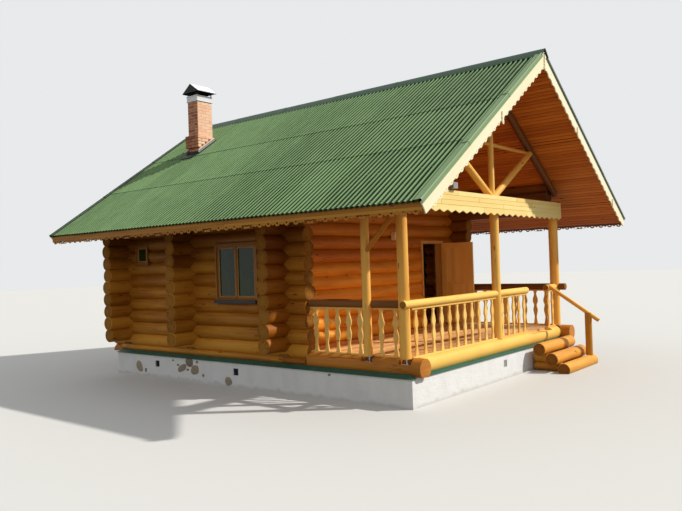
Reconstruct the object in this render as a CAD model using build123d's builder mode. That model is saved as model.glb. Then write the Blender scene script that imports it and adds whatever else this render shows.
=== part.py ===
from build123d import *
from math import atan2, cos, degrees, radians, sin, sqrt, tan
import os

# Log bathhouse with a roofed porch. Millimetres, +Z up, the porch front faces -Y.
# The origin is on the ground, under the centre of the roof's plan.

# foundation
foundation_width = 6800
foundation_length = 8400
foundation_height = 500
foundation_wall = 400
vent_size = 140
vent_below_top = 190
side_vents_from_front = (4250, 6850)

# round logs of the walls
log_diameter = 310
log_pitch = 278
wall_inset = 280
first_log_lift = 8
long_wall_courses = 14
cross_wall_courses = 12
front_wall_from_front = 3020
middle_wall_from_front = 5815
back_wall_from_front = 8165
long_log_end = 600
cross_log_end = 680

# roof
roof_angle = 34.1
deck_over_course = 239.72
eave_reach = 1155
front_verge_reach = 1016
back_verge_reach = 800
sheet_wave_pitch = 95
sheet_wave_height = 36
sheet_thickness = 4
slab_thickness = 75
slab_edge_setback = 50

# porch
rim_diameter = 310
side_rim_diameter = 340
front_rim_inset = 165
rim_lift = 145
side_rim_lift = 140
floor_above_foundation = 290
floor_thickness = 40
left_rim_reach = 90
right_rim_reach = 195
post_diameter = 215
side_post_diameter = 180
tie_diameter = 310
tie_below_plate = 71
plate_reach = 240
truss_log = 150

# door
door_width = 880
door_height = 2000
door_thickness = 45
door_gap = 5
door_from_side_wall = 500
frame_width = 60

# stair
stair_past_entrance = 285
stair_width = 1750

# seats and clearances
seat = 0.3
pad_margin = 3

# derived frame of the model
half_width = foundation_width / 2
front_y = (front_verge_reach - back_verge_reach - foundation_length) / 2
plan_y = front_y + foundation_length / 2
log_radius = log_diameter / 2
wall_x = half_width - wall_inset
long_wall_first_centre = foundation_height + first_log_lift
floor_level = foundation_height + floor_above_foundation
front_wall_y = front_y + front_wall_from_front
middle_wall_y = front_y + middle_wall_from_front
back_wall_y = front_y + back_wall_from_front
cross_wall_first_centre = long_wall_first_centre + log_pitch / 2
wall_face = log_radius + pad_margin
long_wall_front = front_wall_y - long_log_end
long_wall_back = back_wall_y + long_log_end
stub_end_x = wall_x + cross_log_end
rise = tan(radians(roof_angle))
level_share = 1 / cos(radians(roof_angle))
roof_half = half_width + eave_reach
verge_front_y = front_y - front_verge_reach
verge_back_y = front_y + foundation_length + back_verge_reach
roof_length = verge_back_y - verge_front_y
slab_top_depth = sheet_wave_height + sheet_thickness
slab_under_depth = slab_top_depth + slab_thickness
last_whole_course = long_wall_first_centre + (long_wall_courses - 2) * log_pitch
ridge_height = last_whole_course + deck_over_course + wall_x * rise + slab_under_depth * level_share
rim_y = front_y + front_rim_inset
rim_centre_height = foundation_height + rim_lift
side_rim_centre_height = foundation_height + side_rim_lift


def roof_z(x, depth):
    """Height of the roof at x, on the plane that lies depth below the sheets' crests."""
    return ridge_height - abs(x) * rise - depth * level_share


def save(part, label):
    """Name a finished piece and write its file."""
    part.label = label
    export_step(part, "parts/" + label + ".step")


def facing(y):
    """The upright plane that looks to the front, at y."""
    return Plane.XZ.offset(-y)


def sideways(x):
    """The upright plane that looks to the right, at x."""
    return Plane.YZ.offset(x)


def log_stack(centre, first_height, courses):
    """Outline of logs lying on one another, cut level at the foundation."""
    for course in range(courses):
        with Locations((centre, first_height + course * log_pitch)):
            Circle(log_radius)
    with Locations((centre, foundation_height)):
        Rectangle(2 * log_diameter, log_diameter, align=(Align.CENTER, Align.MAX), mode=Mode.SUBTRACT)


def above_roof(depth, mode=Mode.SUBTRACT):
    """Everything over the plane that lies depth below the crests."""
    far = 2 * roof_half
    Polygon(
        (-far, roof_z(far, depth)),
        (0, roof_z(0, depth)),
        (far, roof_z(far, depth)),
        (far, 2 * ridge_height),
        (-far, 2 * ridge_height),
        align=None,
        mode=mode,
    )


os.makedirs("parts", exist_ok=True)

# foundation ring with its air vents
with BuildPart() as foundation:
    with BuildSketch():
        with Locations((0, plan_y)):
            Rectangle(foundation_width, foundation_length)
            Rectangle(
                foundation_width - 2 * foundation_wall,
                foundation_length - 2 * foundation_wall,
                mode=Mode.SUBTRACT,
            )
    extrude(amount=foundation_height)
    with BuildSketch(sideways(-half_width)):
        for distance in side_vents_from_front:
            with Locations((front_y + distance, foundation_height - vent_below_top)):
                Rectangle(vent_size, vent_size)
    extrude(amount=foundation_width, mode=Mode.SUBTRACT)
    with BuildSketch(facing(front_y)):
        with Locations((0, foundation_height - vent_below_top)):
            Rectangle(vent_size, vent_size)
    extrude(amount=-foundation_length, mode=Mode.SUBTRACT)
save(foundation.part, "foundation")

# sloped metal strip that sheds water off the foundation's top edge, cut around the logs
strip_overhang = 25
strip_run = 125
strip_rise = 65
strip_thickness = 4
strip_angle = degrees(atan2(strip_run, strip_rise))
strip_foot = foundation_height - strip_overhang * strip_rise / strip_run
with BuildPart() as foundation_flashing:
    with BuildSketch(Plane.XY.offset(strip_foot + strip_thickness)):
        with Locations((0, plan_y)):
            Rectangle(foundation_width + 2 * strip_overhang, foundation_length + 2 * strip_overhang)
    extrude(amount=strip_rise, taper=strip_angle)
    with BuildSketch(Plane.XY.offset(strip_foot)):
        with Locations((0, plan_y)):
            Rectangle(foundation_width + 2 * strip_overhang, foundation_length + 2 * strip_overhang)
    extrude(amount=strip_rise, taper=strip_angle, mode=Mode.SUBTRACT)
    with BuildSketch(Plane.XY.offset(strip_foot)):
        with Locations((0, plan_y)):
            Rectangle(
                foundation_width + 2 * strip_overhang - 2 * strip_run,
                foundation_length + 2 * strip_overhang - 2 * strip_run,
            )
    extrude(amount=2 * strip_rise, mode=Mode.SUBTRACT)
    with BuildSketch(Plane.XY.offset(strip_foot)):
        for y in (front_wall_y, middle_wall_y, back_wall_y):
            with Locations((0, y)):
                Rectangle(2 * stub_end_x, log_diameter + 2 * seat)
        for side in (-1, 1):
            with Locations((side * wall_x, 0)):
                Rectangle(side_rim_diameter + 2 * seat, 2 * foundation_length)
    extrude(amount=2 * strip_rise, mode=Mode.SUBTRACT)

# long log walls, left and right
window_sill_height = floor_level + 970
main_window_from_front = 4280
main_window_width = 1180
main_window_height = 1130
small_window_from_front = 7490
small_window_size = 400
small_window_sill_height = floor_level + 1785

window_openings = (
    (main_window_from_front, window_sill_height, main_window_width, main_window_height),
    (small_window_from_front, small_window_sill_height, small_window_size, small_window_size),
)

for side, label in ((-1, "left_wall"), (1, "right_wall")):
    with BuildPart() as long_wall:
        with BuildSketch(facing(long_wall_front)):
            log_stack(side * wall_x, long_wall_first_centre, long_wall_courses)
            above_roof(slab_under_depth)
        extrude(amount=long_wall_front - long_wall_back)
        for joint_y in (front_wall_y, middle_wall_y, back_wall_y):
            with BuildSketch(facing(joint_y - log_radius)):
                with Locations((side * wall_x, foundation_height)):
                    Rectangle(
                        2 * wall_face,
                        log_pitch * cross_wall_courses,
                        align=(Align.CENTER, Align.MIN),
                    )
            extrude(amount=-log_diameter)
        with BuildSketch(sideways(side * wall_x - log_diameter)):
            for distance, sill, width, height in window_openings:
                with Locations((front_y + distance, sill)):
                    Rectangle(width, height, align=(Align.CENTER, Align.MIN))
        extrude(amount=2 * log_diameter, mode=Mode.SUBTRACT)
    save(long_wall.part, label)

# cross walls: the part between the long walls and the log ends outside them
inner_x = wall_x - wall_face
outer_x = wall_x + wall_face
door_hinge_x = inner_x - door_from_side_wall
door_left_x = door_hinge_x - door_width - 2 * door_gap
opening_left = door_left_x - frame_width
opening_right = door_hinge_x + frame_width
threshold_top = floor_level + frame_width
opening_bottom = floor_level
opening_top = threshold_top + door_height + 2 * door_gap + frame_width


def cross_logs(y, x_from, x_to, mode=Mode.ADD):
    """A stretch of cross wall logs along X."""
    with BuildSketch(sideways(x_from)) as outline:
        log_stack(y, cross_wall_first_centre, cross_wall_courses)
    extrude(outline.sketch, amount=x_to - x_from, mode=mode)
    with BuildSketch(facing(y - log_diameter)) as over_roof:
        above_roof(slab_under_depth, mode=Mode.ADD)
    extrude(over_roof.sketch, amount=-2 * log_diameter, mode=Mode.SUBTRACT)


inner_doorway_width = 800
inner_doorway_height = 1910
for label, y, left, right, top in (
    ("front_wall", front_wall_y, opening_left, opening_right, opening_top),
    (
        "middle_wall",
        middle_wall_y,
        -inner_doorway_width / 2,
        inner_doorway_width / 2,
        floor_level + inner_doorway_height,
    ),
):
    with BuildPart() as wall_left:
        cross_logs(y, -inner_x, left)
        cross_logs(y, -stub_end_x, -outer_x)
    save(wall_left.part, label + "_left")
    with BuildPart() as wall_right:
        cross_logs(y, right, inner_x)
        cross_logs(y, outer_x, stub_end_x)
    save(wall_right.part, label + "_right")
    with BuildPart() as door_logs:
        cross_logs(y, left, right)
        with BuildSketch(facing(y - log_diameter)):
            with Locations(((left + right) / 2, opening_bottom)):
                Rectangle(2 * (right - left), top - opening_bottom, align=(Align.CENTER, Align.MIN))
        extrude(amount=-2 * log_diameter, mode=Mode.SUBTRACT)
    save(door_logs.part, label + "_door_logs")

with BuildPart() as back_wall:
    cross_logs(back_wall_y, -inner_x, inner_x)
    cross_logs(back_wall_y, -stub_end_x, -outer_x)
    cross_logs(back_wall_y, outer_x, stub_end_x)
save(back_wall.part, "back_wall")

# boarded gables over the front and back walls
gable_thickness = 100
gable_bottom = cross_wall_first_centre + (cross_wall_courses - 1) * log_pitch + log_radius
for y, label in ((front_wall_y, "front_gable"), (back_wall_y, "back_gable")):
    with BuildPart() as gable:
        with BuildSketch(facing(y - gable_thickness / 2)):
            with Locations((0, gable_bottom)):
                Rectangle(2 * (wall_x - log_radius), ridge_height, align=(Align.CENTER, Align.MIN))
            above_roof(slab_under_depth)
        extrude(amount=-gable_thickness)
    save(gable.part, label)

# floors
house_floor_thickness = 60
house_floor_lift = 10
house_floor_top = floor_level + house_floor_lift
with BuildPart() as house_floor:
    for y_from, y_to in ((front_wall_y, middle_wall_y), (middle_wall_y, back_wall_y)):
        with BuildSketch(Plane.XY.offset(house_floor_top)):
            with Locations((0, (y_from + y_to) / 2)):
                Rectangle(2 * (inner_x - seat), y_to - y_from - log_diameter - 2 * seat)
        extrude(amount=-house_floor_thickness)

# chimney: brick shaft on its own footing, with a thicker band where it leaves the roof
chimney_from_left = 1853
chimney_x = chimney_from_left - half_width
chimney_from_front = 7431
chimney_width = 472
chimney_depth = 374
chimney_above_ridge = 329
flue_width = 260
flue_depth = 140
flue_above_floor = 210
band_proud = 60
band_short = 26
chimney_top = ridge_height + chimney_above_ridge
chimney_centre_x = chimney_x + chimney_width / 2
chimney_centre_y = front_y + chimney_from_front + chimney_depth / 2
band_end = chimney_x + chimney_width - band_short
band_top = roof_z(band_end, -seat)
with BuildPart() as chimney:
    with BuildSketch():
        with Locations((chimney_centre_x, chimney_centre_y)):
            Rectangle(chimney_width, chimney_depth)
    extrude(amount=chimney_top)
    with BuildSketch(facing(chimney_centre_y - chimney_depth / 2 - band_proud)):
        Polygon(
            (chimney_x - band_proud, roof_z(chimney_x - band_proud, -seat)),
            (band_end, band_top),
            (chimney_x - band_proud, band_top),
            align=None,
        )
    extrude(amount=-(chimney_depth + 2 * band_proud))
    with BuildSketch(Plane.XY.offset(floor_level + flue_above_floor)):
        with Locations((chimney_centre_x, chimney_centre_y)):
            Rectangle(flue_width, flue_depth)
    extrude(amount=chimney_top, mode=Mode.SUBTRACT)
save(chimney.part, "chimney")

with house_floor:
    with BuildSketch(Plane.XY.offset(house_floor_top)):
        with Locations((chimney_centre_x, chimney_centre_y)):
            Rectangle(chimney_width + 2 * seat, chimney_depth + 2 * seat)
    extrude(amount=-house_floor_thickness, mode=Mode.SUBTRACT)
save(house_floor.part, "house_floor")

# metal collar on the chimney's top with a gabled hood on four legs
collar_height = 150
collar_proud = 12
hood_gap = 86
hood_rise = 220
hood_half_depth = 310
hood_half_width = 300
hood_sheet = 12
leg_size = 20
hood_base = chimney_top + collar_height + hood_gap
hood_ridge = hood_base + hood_rise
leg_reach = (chimney_depth - leg_size) / 2
hood_over_leg = hood_base + hood_rise * (1 - leg_reach / hood_half_depth)
with BuildPart() as chimney_cap:
    with BuildSketch(Plane.XY.offset(chimney_top)):
        with Locations((chimney_centre_x, chimney_centre_y)):
            Rectangle(chimney_width + 2 * collar_proud, chimney_depth + 2 * collar_proud)
            Rectangle(flue_width, flue_depth, mode=Mode.SUBTRACT)
    extrude(amount=collar_height)
    with BuildSketch(Plane.XY.offset(chimney_top + collar_height)):
        with Locations((chimney_centre_x, chimney_centre_y)):
            with GridLocations(chimney_width - leg_size, chimney_depth - leg_size, 2, 2):
                Rectangle(leg_size, leg_size)
    extrude(amount=hood_over_leg - chimney_top - collar_height - hood_sheet)
    with BuildSketch(sideways(chimney_centre_x - hood_half_width)):
        with BuildLine():
            Polyline(
                (chimney_centre_y - hood_half_depth, hood_base),
                (chimney_centre_y, hood_ridge),
                (chimney_centre_y + hood_half_depth, hood_base),
                (chimney_centre_y + hood_half_depth - hood_sheet, hood_base - hood_sheet / 3),
                (chimney_centre_y, hood_ridge - hood_sheet),
                (chimney_centre_y - hood_half_depth + hood_sheet, hood_base - hood_sheet / 3),
                close=True,
            )
        make_face()
    extrude(amount=2 * hood_half_width)
    for gable_x in (
        chimney_centre_x - hood_half_width,
        chimney_centre_x + hood_half_width - hood_sheet,
    ):
        with BuildSketch(sideways(gable_x)):
            Polygon(
                (chimney_centre_y - hood_half_depth + hood_sheet, hood_base),
                (chimney_centre_y + hood_half_depth - hood_sheet, hood_base),
                (chimney_centre_y, hood_ridge - hood_sheet / 2),
                align=None,
            )
        extrude(amount=hood_sheet)
save(chimney_cap.part, "chimney_cap")

# roof slabs: rafters, battens and the soffit boards under them
for side, label in ((-1, "roof_slab_left"), (1, "roof_slab_right")):
    with BuildPart() as slab:
        with BuildSketch(facing(verge_front_y)):
            edge = side * (roof_half - slab_edge_setback)
            Polygon(
                (0, roof_z(0, slab_top_depth)),
                (edge, roof_z(edge, slab_top_depth)),
                (edge, roof_z(edge, slab_under_depth)),
                (0, roof_z(0, slab_under_depth)),
                align=None,
            )
        extrude(amount=-roof_length)
        if side < 0:
            with BuildSketch(Plane.XY.offset(foundation_height)):
                with Locations((chimney_centre_x, chimney_centre_y)):
                    Rectangle(chimney_width + 2 * seat, chimney_depth + 2 * seat)
            extrude(amount=ridge_height, mode=Mode.SUBTRACT)
    save(slab.part, label)

# corrugated sheets
waves = round(roof_length / sheet_wave_pitch)
wave_pitch = roof_length / waves
for side, label in ((-1, "roof_sheet_left"), (1, "roof_sheet_right")):
    slope_plane = Plane(
        origin=(0, 0, ridge_height),
        x_dir=(0, 1, 0),
        z_dir=(side * cos(radians(roof_angle)), 0, -sin(radians(roof_angle))),
    )
    outward = 1 if slope_plane.y_dir.Z > 0 else -1
    crest = 0
    trough = -outward * sheet_wave_height
    under = -outward * sheet_thickness
    top_line = []
    for wave in range(waves):
        start = verge_front_y + wave * wave_pitch
        top_line.append((start, trough))
        top_line.append((start + 0.2 * wave_pitch, trough))
        top_line.append((start + 0.4 * wave_pitch, crest))
        top_line.append((start + 0.8 * wave_pitch, crest))
    top_line.append((verge_back_y, trough))
    bottom_line = [(along, height + under) for along, height in reversed(top_line)]
    with BuildPart() as sheet:
        with BuildSketch(slope_plane):
            with BuildLine():
                Polyline(*top_line, *bottom_line, close=True)
            make_face()
        extrude(amount=roof_half * level_share)
        if side < 0:
            with BuildSketch(Plane.XY.offset(foundation_height)):
                with Locations((chimney_centre_x, chimney_centre_y)):
                    Rectangle(chimney_width + 2 * seat, chimney_depth + 2 * seat)
            extrude(amount=ridge_height, mode=Mode.SUBTRACT)
        with BuildSketch(facing(verge_front_y - 1)):
            Polygon(
                (0, 0),
                (-side * roof_half, 0),
                (-side * roof_half, 2 * ridge_height),
                (0, 2 * ridge_height),
                align=None,
            )
        extrude(amount=-roof_length - 2, mode=Mode.SUBTRACT)
    save(sheet.part, label)

# ridge cap over the two slopes
ridge_wing = 190
cap_thickness = 4
cap_overhang = 20
trim_thickness = 3
cap_under = -trim_thickness - 2 * seat
with BuildPart() as ridge_cap:
    with BuildSketch(facing(verge_front_y - cap_overhang)):
        wing_x = ridge_wing * cos(radians(roof_angle))
        with BuildLine():
            Polyline(
                (-wing_x, roof_z(wing_x, cap_under)),
                (0, roof_z(0, cap_under)),
                (wing_x, roof_z(wing_x, cap_under)),
                (wing_x, roof_z(wing_x, cap_under - cap_thickness)),
                (0, roof_z(0, cap_under - cap_thickness)),
                (-wing_x, roof_z(wing_x, cap_under - cap_thickness)),
                close=True,
            )
        make_face()
    extrude(amount=-roof_length - 2 * cap_overhang)
save(ridge_cap.part, "ridge_cap")

# barge boards on the verges, their lower edge cut to scallops with drops at the butts
barge_depth = 100
barge_thickness = 22
barge_scallop_radius = 52
barge_scallop_pitch = 200
drop_width = 60
drop_length = 190
drop_places = (-2900, -1910, 0, 1625, 3713)
barge_scallops = round(roof_half * level_share / barge_scallop_pitch) - 1
with BuildPart() as bargeboards:
    for y, direction in ((verge_front_y, 1), (verge_back_y, -1)):
        with BuildSketch(facing(y)):
            Polygon(
                (-roof_half, roof_z(roof_half, slab_top_depth)),
                (0, roof_z(0, slab_top_depth)),
                (roof_half, roof_z(roof_half, slab_top_depth)),
                (roof_half, roof_z(roof_half, slab_top_depth + barge_depth)),
                (0, roof_z(0, slab_top_depth + barge_depth)),
                (-roof_half, roof_z(roof_half, slab_top_depth + barge_depth)),
                align=None,
            )
            for number in range(1, barge_scallops + 1):
                along = number * barge_scallop_pitch / level_share
                for x in (-along, along):
                    with Locations((x, roof_z(x, slab_top_depth + barge_depth))):
                        Circle(barge_scallop_radius)
            for x in drop_places:
                with Locations((x, roof_z(x, slab_top_depth + barge_depth) - drop_length / 3)):
                    Ellipse(drop_width / 2, drop_length / 2)
        extrude(amount=direction * barge_thickness)
save(bargeboards.part, "bargeboards")

# green trim over the verges
trim_wing = 180
trim_drop = 60
with BuildPart() as verge_trims:
    for y, direction in ((verge_front_y, 1), (verge_back_y, -1)):
        with BuildSketch(facing(y - direction * (barge_thickness + seat))):
            Polygon(
                (-roof_half, roof_z(roof_half, -seat - trim_thickness)),
                (0, roof_z(0, -seat - trim_thickness)),
                (roof_half, roof_z(roof_half, -seat - trim_thickness)),
                (roof_half, roof_z(roof_half, trim_drop)),
                (0, roof_z(0, trim_drop)),
                (-roof_half, roof_z(roof_half, trim_drop)),
                align=None,
            )
        extrude(amount=direction * trim_thickness)
        with BuildSketch(facing(y - direction * (barge_thickness + seat))):
            Polygon(
                (-roof_half, roof_z(roof_half, -seat - trim_thickness)),
                (0, roof_z(0, -seat - trim_thickness)),
                (roof_half, roof_z(roof_half, -seat - trim_thickness)),
                (roof_half, roof_z(roof_half, -seat)),
                (0, roof_z(0, -seat)),
                (-roof_half, roof_z(roof_half, -seat)),
                align=None,
            )
        extrude(amount=-direction * (trim_wing - barge_thickness))
save(verge_trims.part, "verge_trims")

# metal apron around the chimney
apron_margin = 150
apron_thickness = 4
with BuildPart() as chimney_apron:
    with BuildSketch(facing(chimney_centre_y - chimney_depth / 2 - apron_margin)):
        left = chimney_x - apron_margin
        right = chimney_x + chimney_width + apron_margin
        Polygon(
            (left, roof_z(left, -seat)),
            (right, roof_z(right, -seat)),
            (right, roof_z(right, -seat - apron_thickness)),
            (left, roof_z(left, -seat - apron_thickness)),
            align=None,
        )
    extrude(amount=-(chimney_depth + 2 * apron_margin))
    with BuildSketch(Plane.XY.offset(foundation_height)):
        with Locations((chimney_centre_x, chimney_centre_y)):
            Rectangle(chimney_width + 2 * (band_proud + seat), chimney_depth + 2 * (band_proud + seat))
    extrude(amount=ridge_height, mode=Mode.SUBTRACT)
save(chimney_apron.part, "chimney_apron")

# eave boards
fascia_depth = 85
fascia_thickness = 25
lace_pitch = 212
lace_radius = 54
lace_small_radius = 34
lace_lap = 18
lace_scallops = round(roof_length / lace_pitch)
with BuildPart() as eave_boards:
    eave_x = roof_half - slab_edge_setback
    eave_top = roof_z(eave_x + fascia_thickness, slab_top_depth)
    for start_x in (-eave_x - fascia_thickness, eave_x):
        with BuildSketch(sideways(start_x)):
            with Locations((0, eave_top)):
                Rectangle(roof_length, fascia_depth, align=(Align.CENTER, Align.MAX))
            with Locations((0, eave_top - fascia_depth + lace_lap)):
                with GridLocations(roof_length / lace_scallops, 0, lace_scallops, 1):
                    Circle(lace_radius)
                with GridLocations(roof_length / lace_scallops, 0, lace_scallops - 1, 1):
                    Circle(lace_small_radius)
        extrude(amount=fascia_thickness)
save(eave_boards.part, "eave_boards")

# porch rim logs
corner_post_outset = 110
side_post_outset = 80
right_post_inset = 15
corner_post_x = -(wall_x + corner_post_outset)
corner_post_y = front_y + 225
right_post_x = wall_x - right_post_inset
right_post_y = front_y + 175
middle_post_x = 50
side_post_x = -(wall_x + side_post_outset)
side_post_y = front_y + 1030
floor_side_inset = 60
floor_front_inset = 40
jack_height = 90
jack_room = 120
jack_pad_margin = 15
post_lift = 5
post_bottom = floor_level + post_lift
porch_floor_half = wall_x - floor_side_inset
porch_floor_front = rim_y + floor_front_inset
rim_foot_width = 40

with BuildPart() as side_rim_logs:
    for side, reach in ((-1, left_rim_reach), (1, right_rim_reach)):
        with BuildSketch(facing(front_y - reach)):
            with Locations((side * wall_x, side_rim_centre_height)):
                Circle(side_rim_diameter / 2)
            with Locations((side * wall_x, foundation_height)):
                Rectangle(
                    2 * side_rim_diameter,
                    side_rim_diameter,
                    align=(Align.CENTER, Align.MAX),
                    mode=Mode.SUBTRACT,
                )
        extrude(amount=front_y - reach - long_wall_front)
    with BuildSketch(Plane.XY.offset(floor_level - floor_thickness)):
        with Locations((0, (porch_floor_front + long_wall_front) / 2)):
            Rectangle(2 * porch_floor_half, long_wall_front - porch_floor_front)
    extrude(amount=log_diameter, mode=Mode.SUBTRACT)
    with BuildSketch(Plane.XY.offset(floor_level)):
        with Locations((0, rim_y - rim_foot_width)):
            Rectangle(foundation_width, foundation_length, align=(Align.CENTER, Align.MIN))
    extrude(amount=log_diameter, mode=Mode.SUBTRACT)
    with BuildSketch(Plane.XY.offset(post_bottom - jack_height)):
        for x, y in ((corner_post_x, corner_post_y), (side_post_x, side_post_y)):
            with Locations((x - jack_room / 2, y)):
                Rectangle(post_diameter + jack_room, post_diameter + 2 * jack_pad_margin)
        with Locations((right_post_x, right_post_y)):
            Rectangle(post_diameter + 2 * jack_pad_margin, post_diameter + 2 * jack_pad_margin)
    extrude(amount=log_diameter, mode=Mode.SUBTRACT)
save(side_rim_logs.part, "side_rim_logs")

entrance_width = 1060
entrance_notch = 50
short_bay = 575
entrance_right = right_post_x - short_bay
rail_end = entrance_right - entrance_width
rim_inner_x = wall_x - side_rim_diameter / 2
with BuildPart() as front_rim_log:
    with BuildSketch(sideways(-rim_inner_x)):
        with Locations((rim_y, rim_centre_height)):
            Circle(rim_diameter / 2)
        with Locations((rim_y, foundation_height)):
            Rectangle(
                2 * rim_diameter,
                rim_diameter,
                align=(Align.CENTER, Align.MAX),
                mode=Mode.SUBTRACT,
            )
        with Locations((rim_y, floor_level)):
            Rectangle(
                2 * rim_diameter,
                rim_diameter,
                align=(Align.CENTER, Align.MIN),
                mode=Mode.SUBTRACT,
            )
        with Locations((porch_floor_front, floor_level - floor_thickness)):
            Rectangle(rim_diameter, rim_diameter, align=(Align.MIN, Align.MIN), mode=Mode.SUBTRACT)
    extrude(amount=2 * rim_inner_x)
    with BuildSketch(Plane.XY.offset(floor_level - entrance_notch)):
        with Locations(((rail_end + entrance_right) / 2, porch_floor_front)):
            Rectangle(entrance_width, log_diameter, align=(Align.CENTER, Align.MAX))
    extrude(amount=log_diameter, mode=Mode.SUBTRACT)
save(front_rim_log.part, "front_rim_log")

with foundation_flashing:
    add(front_rim_log.part, mode=Mode.SUBTRACT)
save(foundation_flashing.part, "foundation_flashing")

floor_back_gap = 120
with BuildPart() as porch_floor:
    with BuildSketch(Plane.XY.offset(floor_level - floor_thickness)):
        with Locations((0, (porch_floor_front + long_wall_front) / 2)):
            Rectangle(2 * porch_floor_half, long_wall_front - porch_floor_front)
        with Locations((0, long_wall_front)):
            Rectangle(
                2 * (inner_x - seat),
                front_wall_y - long_wall_front - floor_back_gap,
                align=(Align.CENTER, Align.MIN),
            )
    extrude(amount=floor_thickness)
save(porch_floor.part, "porch_floor")

# plate logs that carry the roof over the porch, on both sides
plate_courses = 3
plate_flat = 12
plate_first = long_wall_first_centre + (long_wall_courses - plate_courses) * log_pitch
plate_bottom = plate_first - log_radius + plate_flat
with BuildPart() as porch_plates:
    with BuildSketch(facing(front_y - plate_reach)):
        for side in (-1, 1):
            for course in range(plate_courses):
                with Locations((side * wall_x, plate_first + course * log_pitch)):
                    Circle(log_radius)
        with Locations((0, plate_bottom)):
            Rectangle(2 * half_width, log_diameter, align=(Align.CENTER, Align.MAX), mode=Mode.SUBTRACT)
        above_roof(slab_under_depth)
    extrude(amount=front_y - plate_reach - long_wall_front)
save(porch_plates.part, "porch_plates")

# posts
tie_flat_depth = 10
tie_centre_height = plate_first - tie_below_plate
tie_flat = tie_centre_height - tie_diameter / 2 + tie_flat_depth
with BuildPart() as porch_posts:
    with BuildSketch(Plane.XY.offset(post_bottom)):
        with Locations((corner_post_x, corner_post_y), (right_post_x, right_post_y)):
            Circle(post_diameter / 2)
        with Locations((side_post_x, side_post_y)):
            Circle(side_post_diameter / 2)
    extrude(amount=plate_bottom - post_bottom)
    with BuildSketch(Plane.XY.offset(floor_level)):
        with Locations((middle_post_x, rim_y)):
            Circle(side_post_diameter / 2)
    extrude(amount=tie_flat - floor_level)

# round handrails let into the posts
rail_diameter = 140
rail_height = floor_level + 920
right_rail_reach = 80
corner_rail_reach = 130
rail_let_in = 60
with BuildPart() as handrails:
    with BuildSketch(sideways(corner_post_x - corner_rail_reach)):
        with Locations((rim_y, rail_height)):
            Circle(rail_diameter / 2)
    extrude(amount=rail_end - corner_post_x + corner_rail_reach)
    with BuildSketch(sideways(entrance_right)):
        with Locations((rim_y, rail_height)):
            Circle(rail_diameter / 2)
    extrude(amount=right_post_x - entrance_right)
    with BuildSketch(facing(corner_post_y + rail_let_in)):
        with Locations((-wall_x, rail_height)):
            Circle(rail_diameter / 2)
    extrude(amount=corner_post_y + rail_let_in - long_wall_front)
    with BuildSketch(facing(front_y - right_rail_reach)):
        with Locations((wall_x, rail_height)):
            Circle(rail_diameter / 2)
    extrude(amount=front_y - right_rail_reach - long_wall_front)
with porch_posts:
    add(handrails.part, mode=Mode.SUBTRACT)
save(handrails.part, "handrails")
save(porch_posts.part, "porch_posts")

# screw jacks under the posts
jack_plate = 8
jack_plate_width = 120
jack_plate_length = 140
jack_screw_radius = 16
jack_offset = 30
with BuildPart() as screw_jacks:
    for x, y, floor_z in (
        (corner_post_x, corner_post_y, post_bottom - jack_height),
        (side_post_x, side_post_y, post_bottom - jack_height),
        (right_post_x, right_post_y, post_bottom - jack_height),
    ):
        with BuildSketch(Plane.XY.offset(floor_z)):
            with Locations((x + jack_offset, y)):
                Rectangle(jack_plate_width, jack_plate_length)
        extrude(amount=jack_plate)
        with BuildSketch(Plane.XY.offset(floor_z)):
            with Locations((x + jack_offset, y)):
                Circle(jack_screw_radius)
        extrude(amount=jack_height)
        with BuildSketch(Plane.XY.offset(post_bottom - jack_plate)):
            with Locations((x + jack_offset, y)):
                Rectangle(jack_plate_width, jack_plate_length)
        extrude(amount=jack_plate)
save(screw_jacks.part, "screw_jacks")

# knee brace in the left side, between the side post and the corner post
brace_diameter = 90
brace_drop = 823
brace_low = plate_bottom - brace_drop
brace_x = (side_post_x + corner_post_x) / 2
with BuildPart() as knee_brace:
    with BuildSketch(Plane(origin=(brace_x, side_post_y, brace_low), z_dir=(0, -1, 1))):
        Circle(brace_diameter / 2)
    extrude(amount=2 * brace_drop, both=True)
    with BuildSketch(sideways(brace_x - brace_diameter)):
        with Locations((corner_post_y + post_diameter / 2, brace_low)):
            Rectangle(
                side_post_y - corner_post_y - (post_diameter + side_post_diameter) / 2,
                plate_bottom - brace_low,
                align=(Align.MIN, Align.MIN),
            )
    extrude(amount=2 * brace_diameter, mode=Mode.INTERSECT)
save(knee_brace.part, "knee_brace")

# gable truss: tie log, boards on its face, rafters, king post, struts and collar
with BuildPart() as tie_log:
    with BuildSketch(sideways(-(wall_x - log_radius))):
        with Locations((rim_y, tie_centre_height)):
            Circle(tie_diameter / 2)
        with Locations((rim_y, tie_flat)):
            Rectangle(
                2 * tie_diameter,
                tie_diameter,
                align=(Align.CENTER, Align.MAX),
                mode=Mode.SUBTRACT,
            )
        with Locations((rim_y, 2 * tie_centre_height - tie_flat)):
            Rectangle(
                2 * tie_diameter,
                tie_diameter,
                align=(Align.CENTER, Align.MIN),
                mode=Mode.SUBTRACT,
            )
    extrude(amount=2 * (wall_x - log_radius))
save(tie_log.part, "tie_log")

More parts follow.
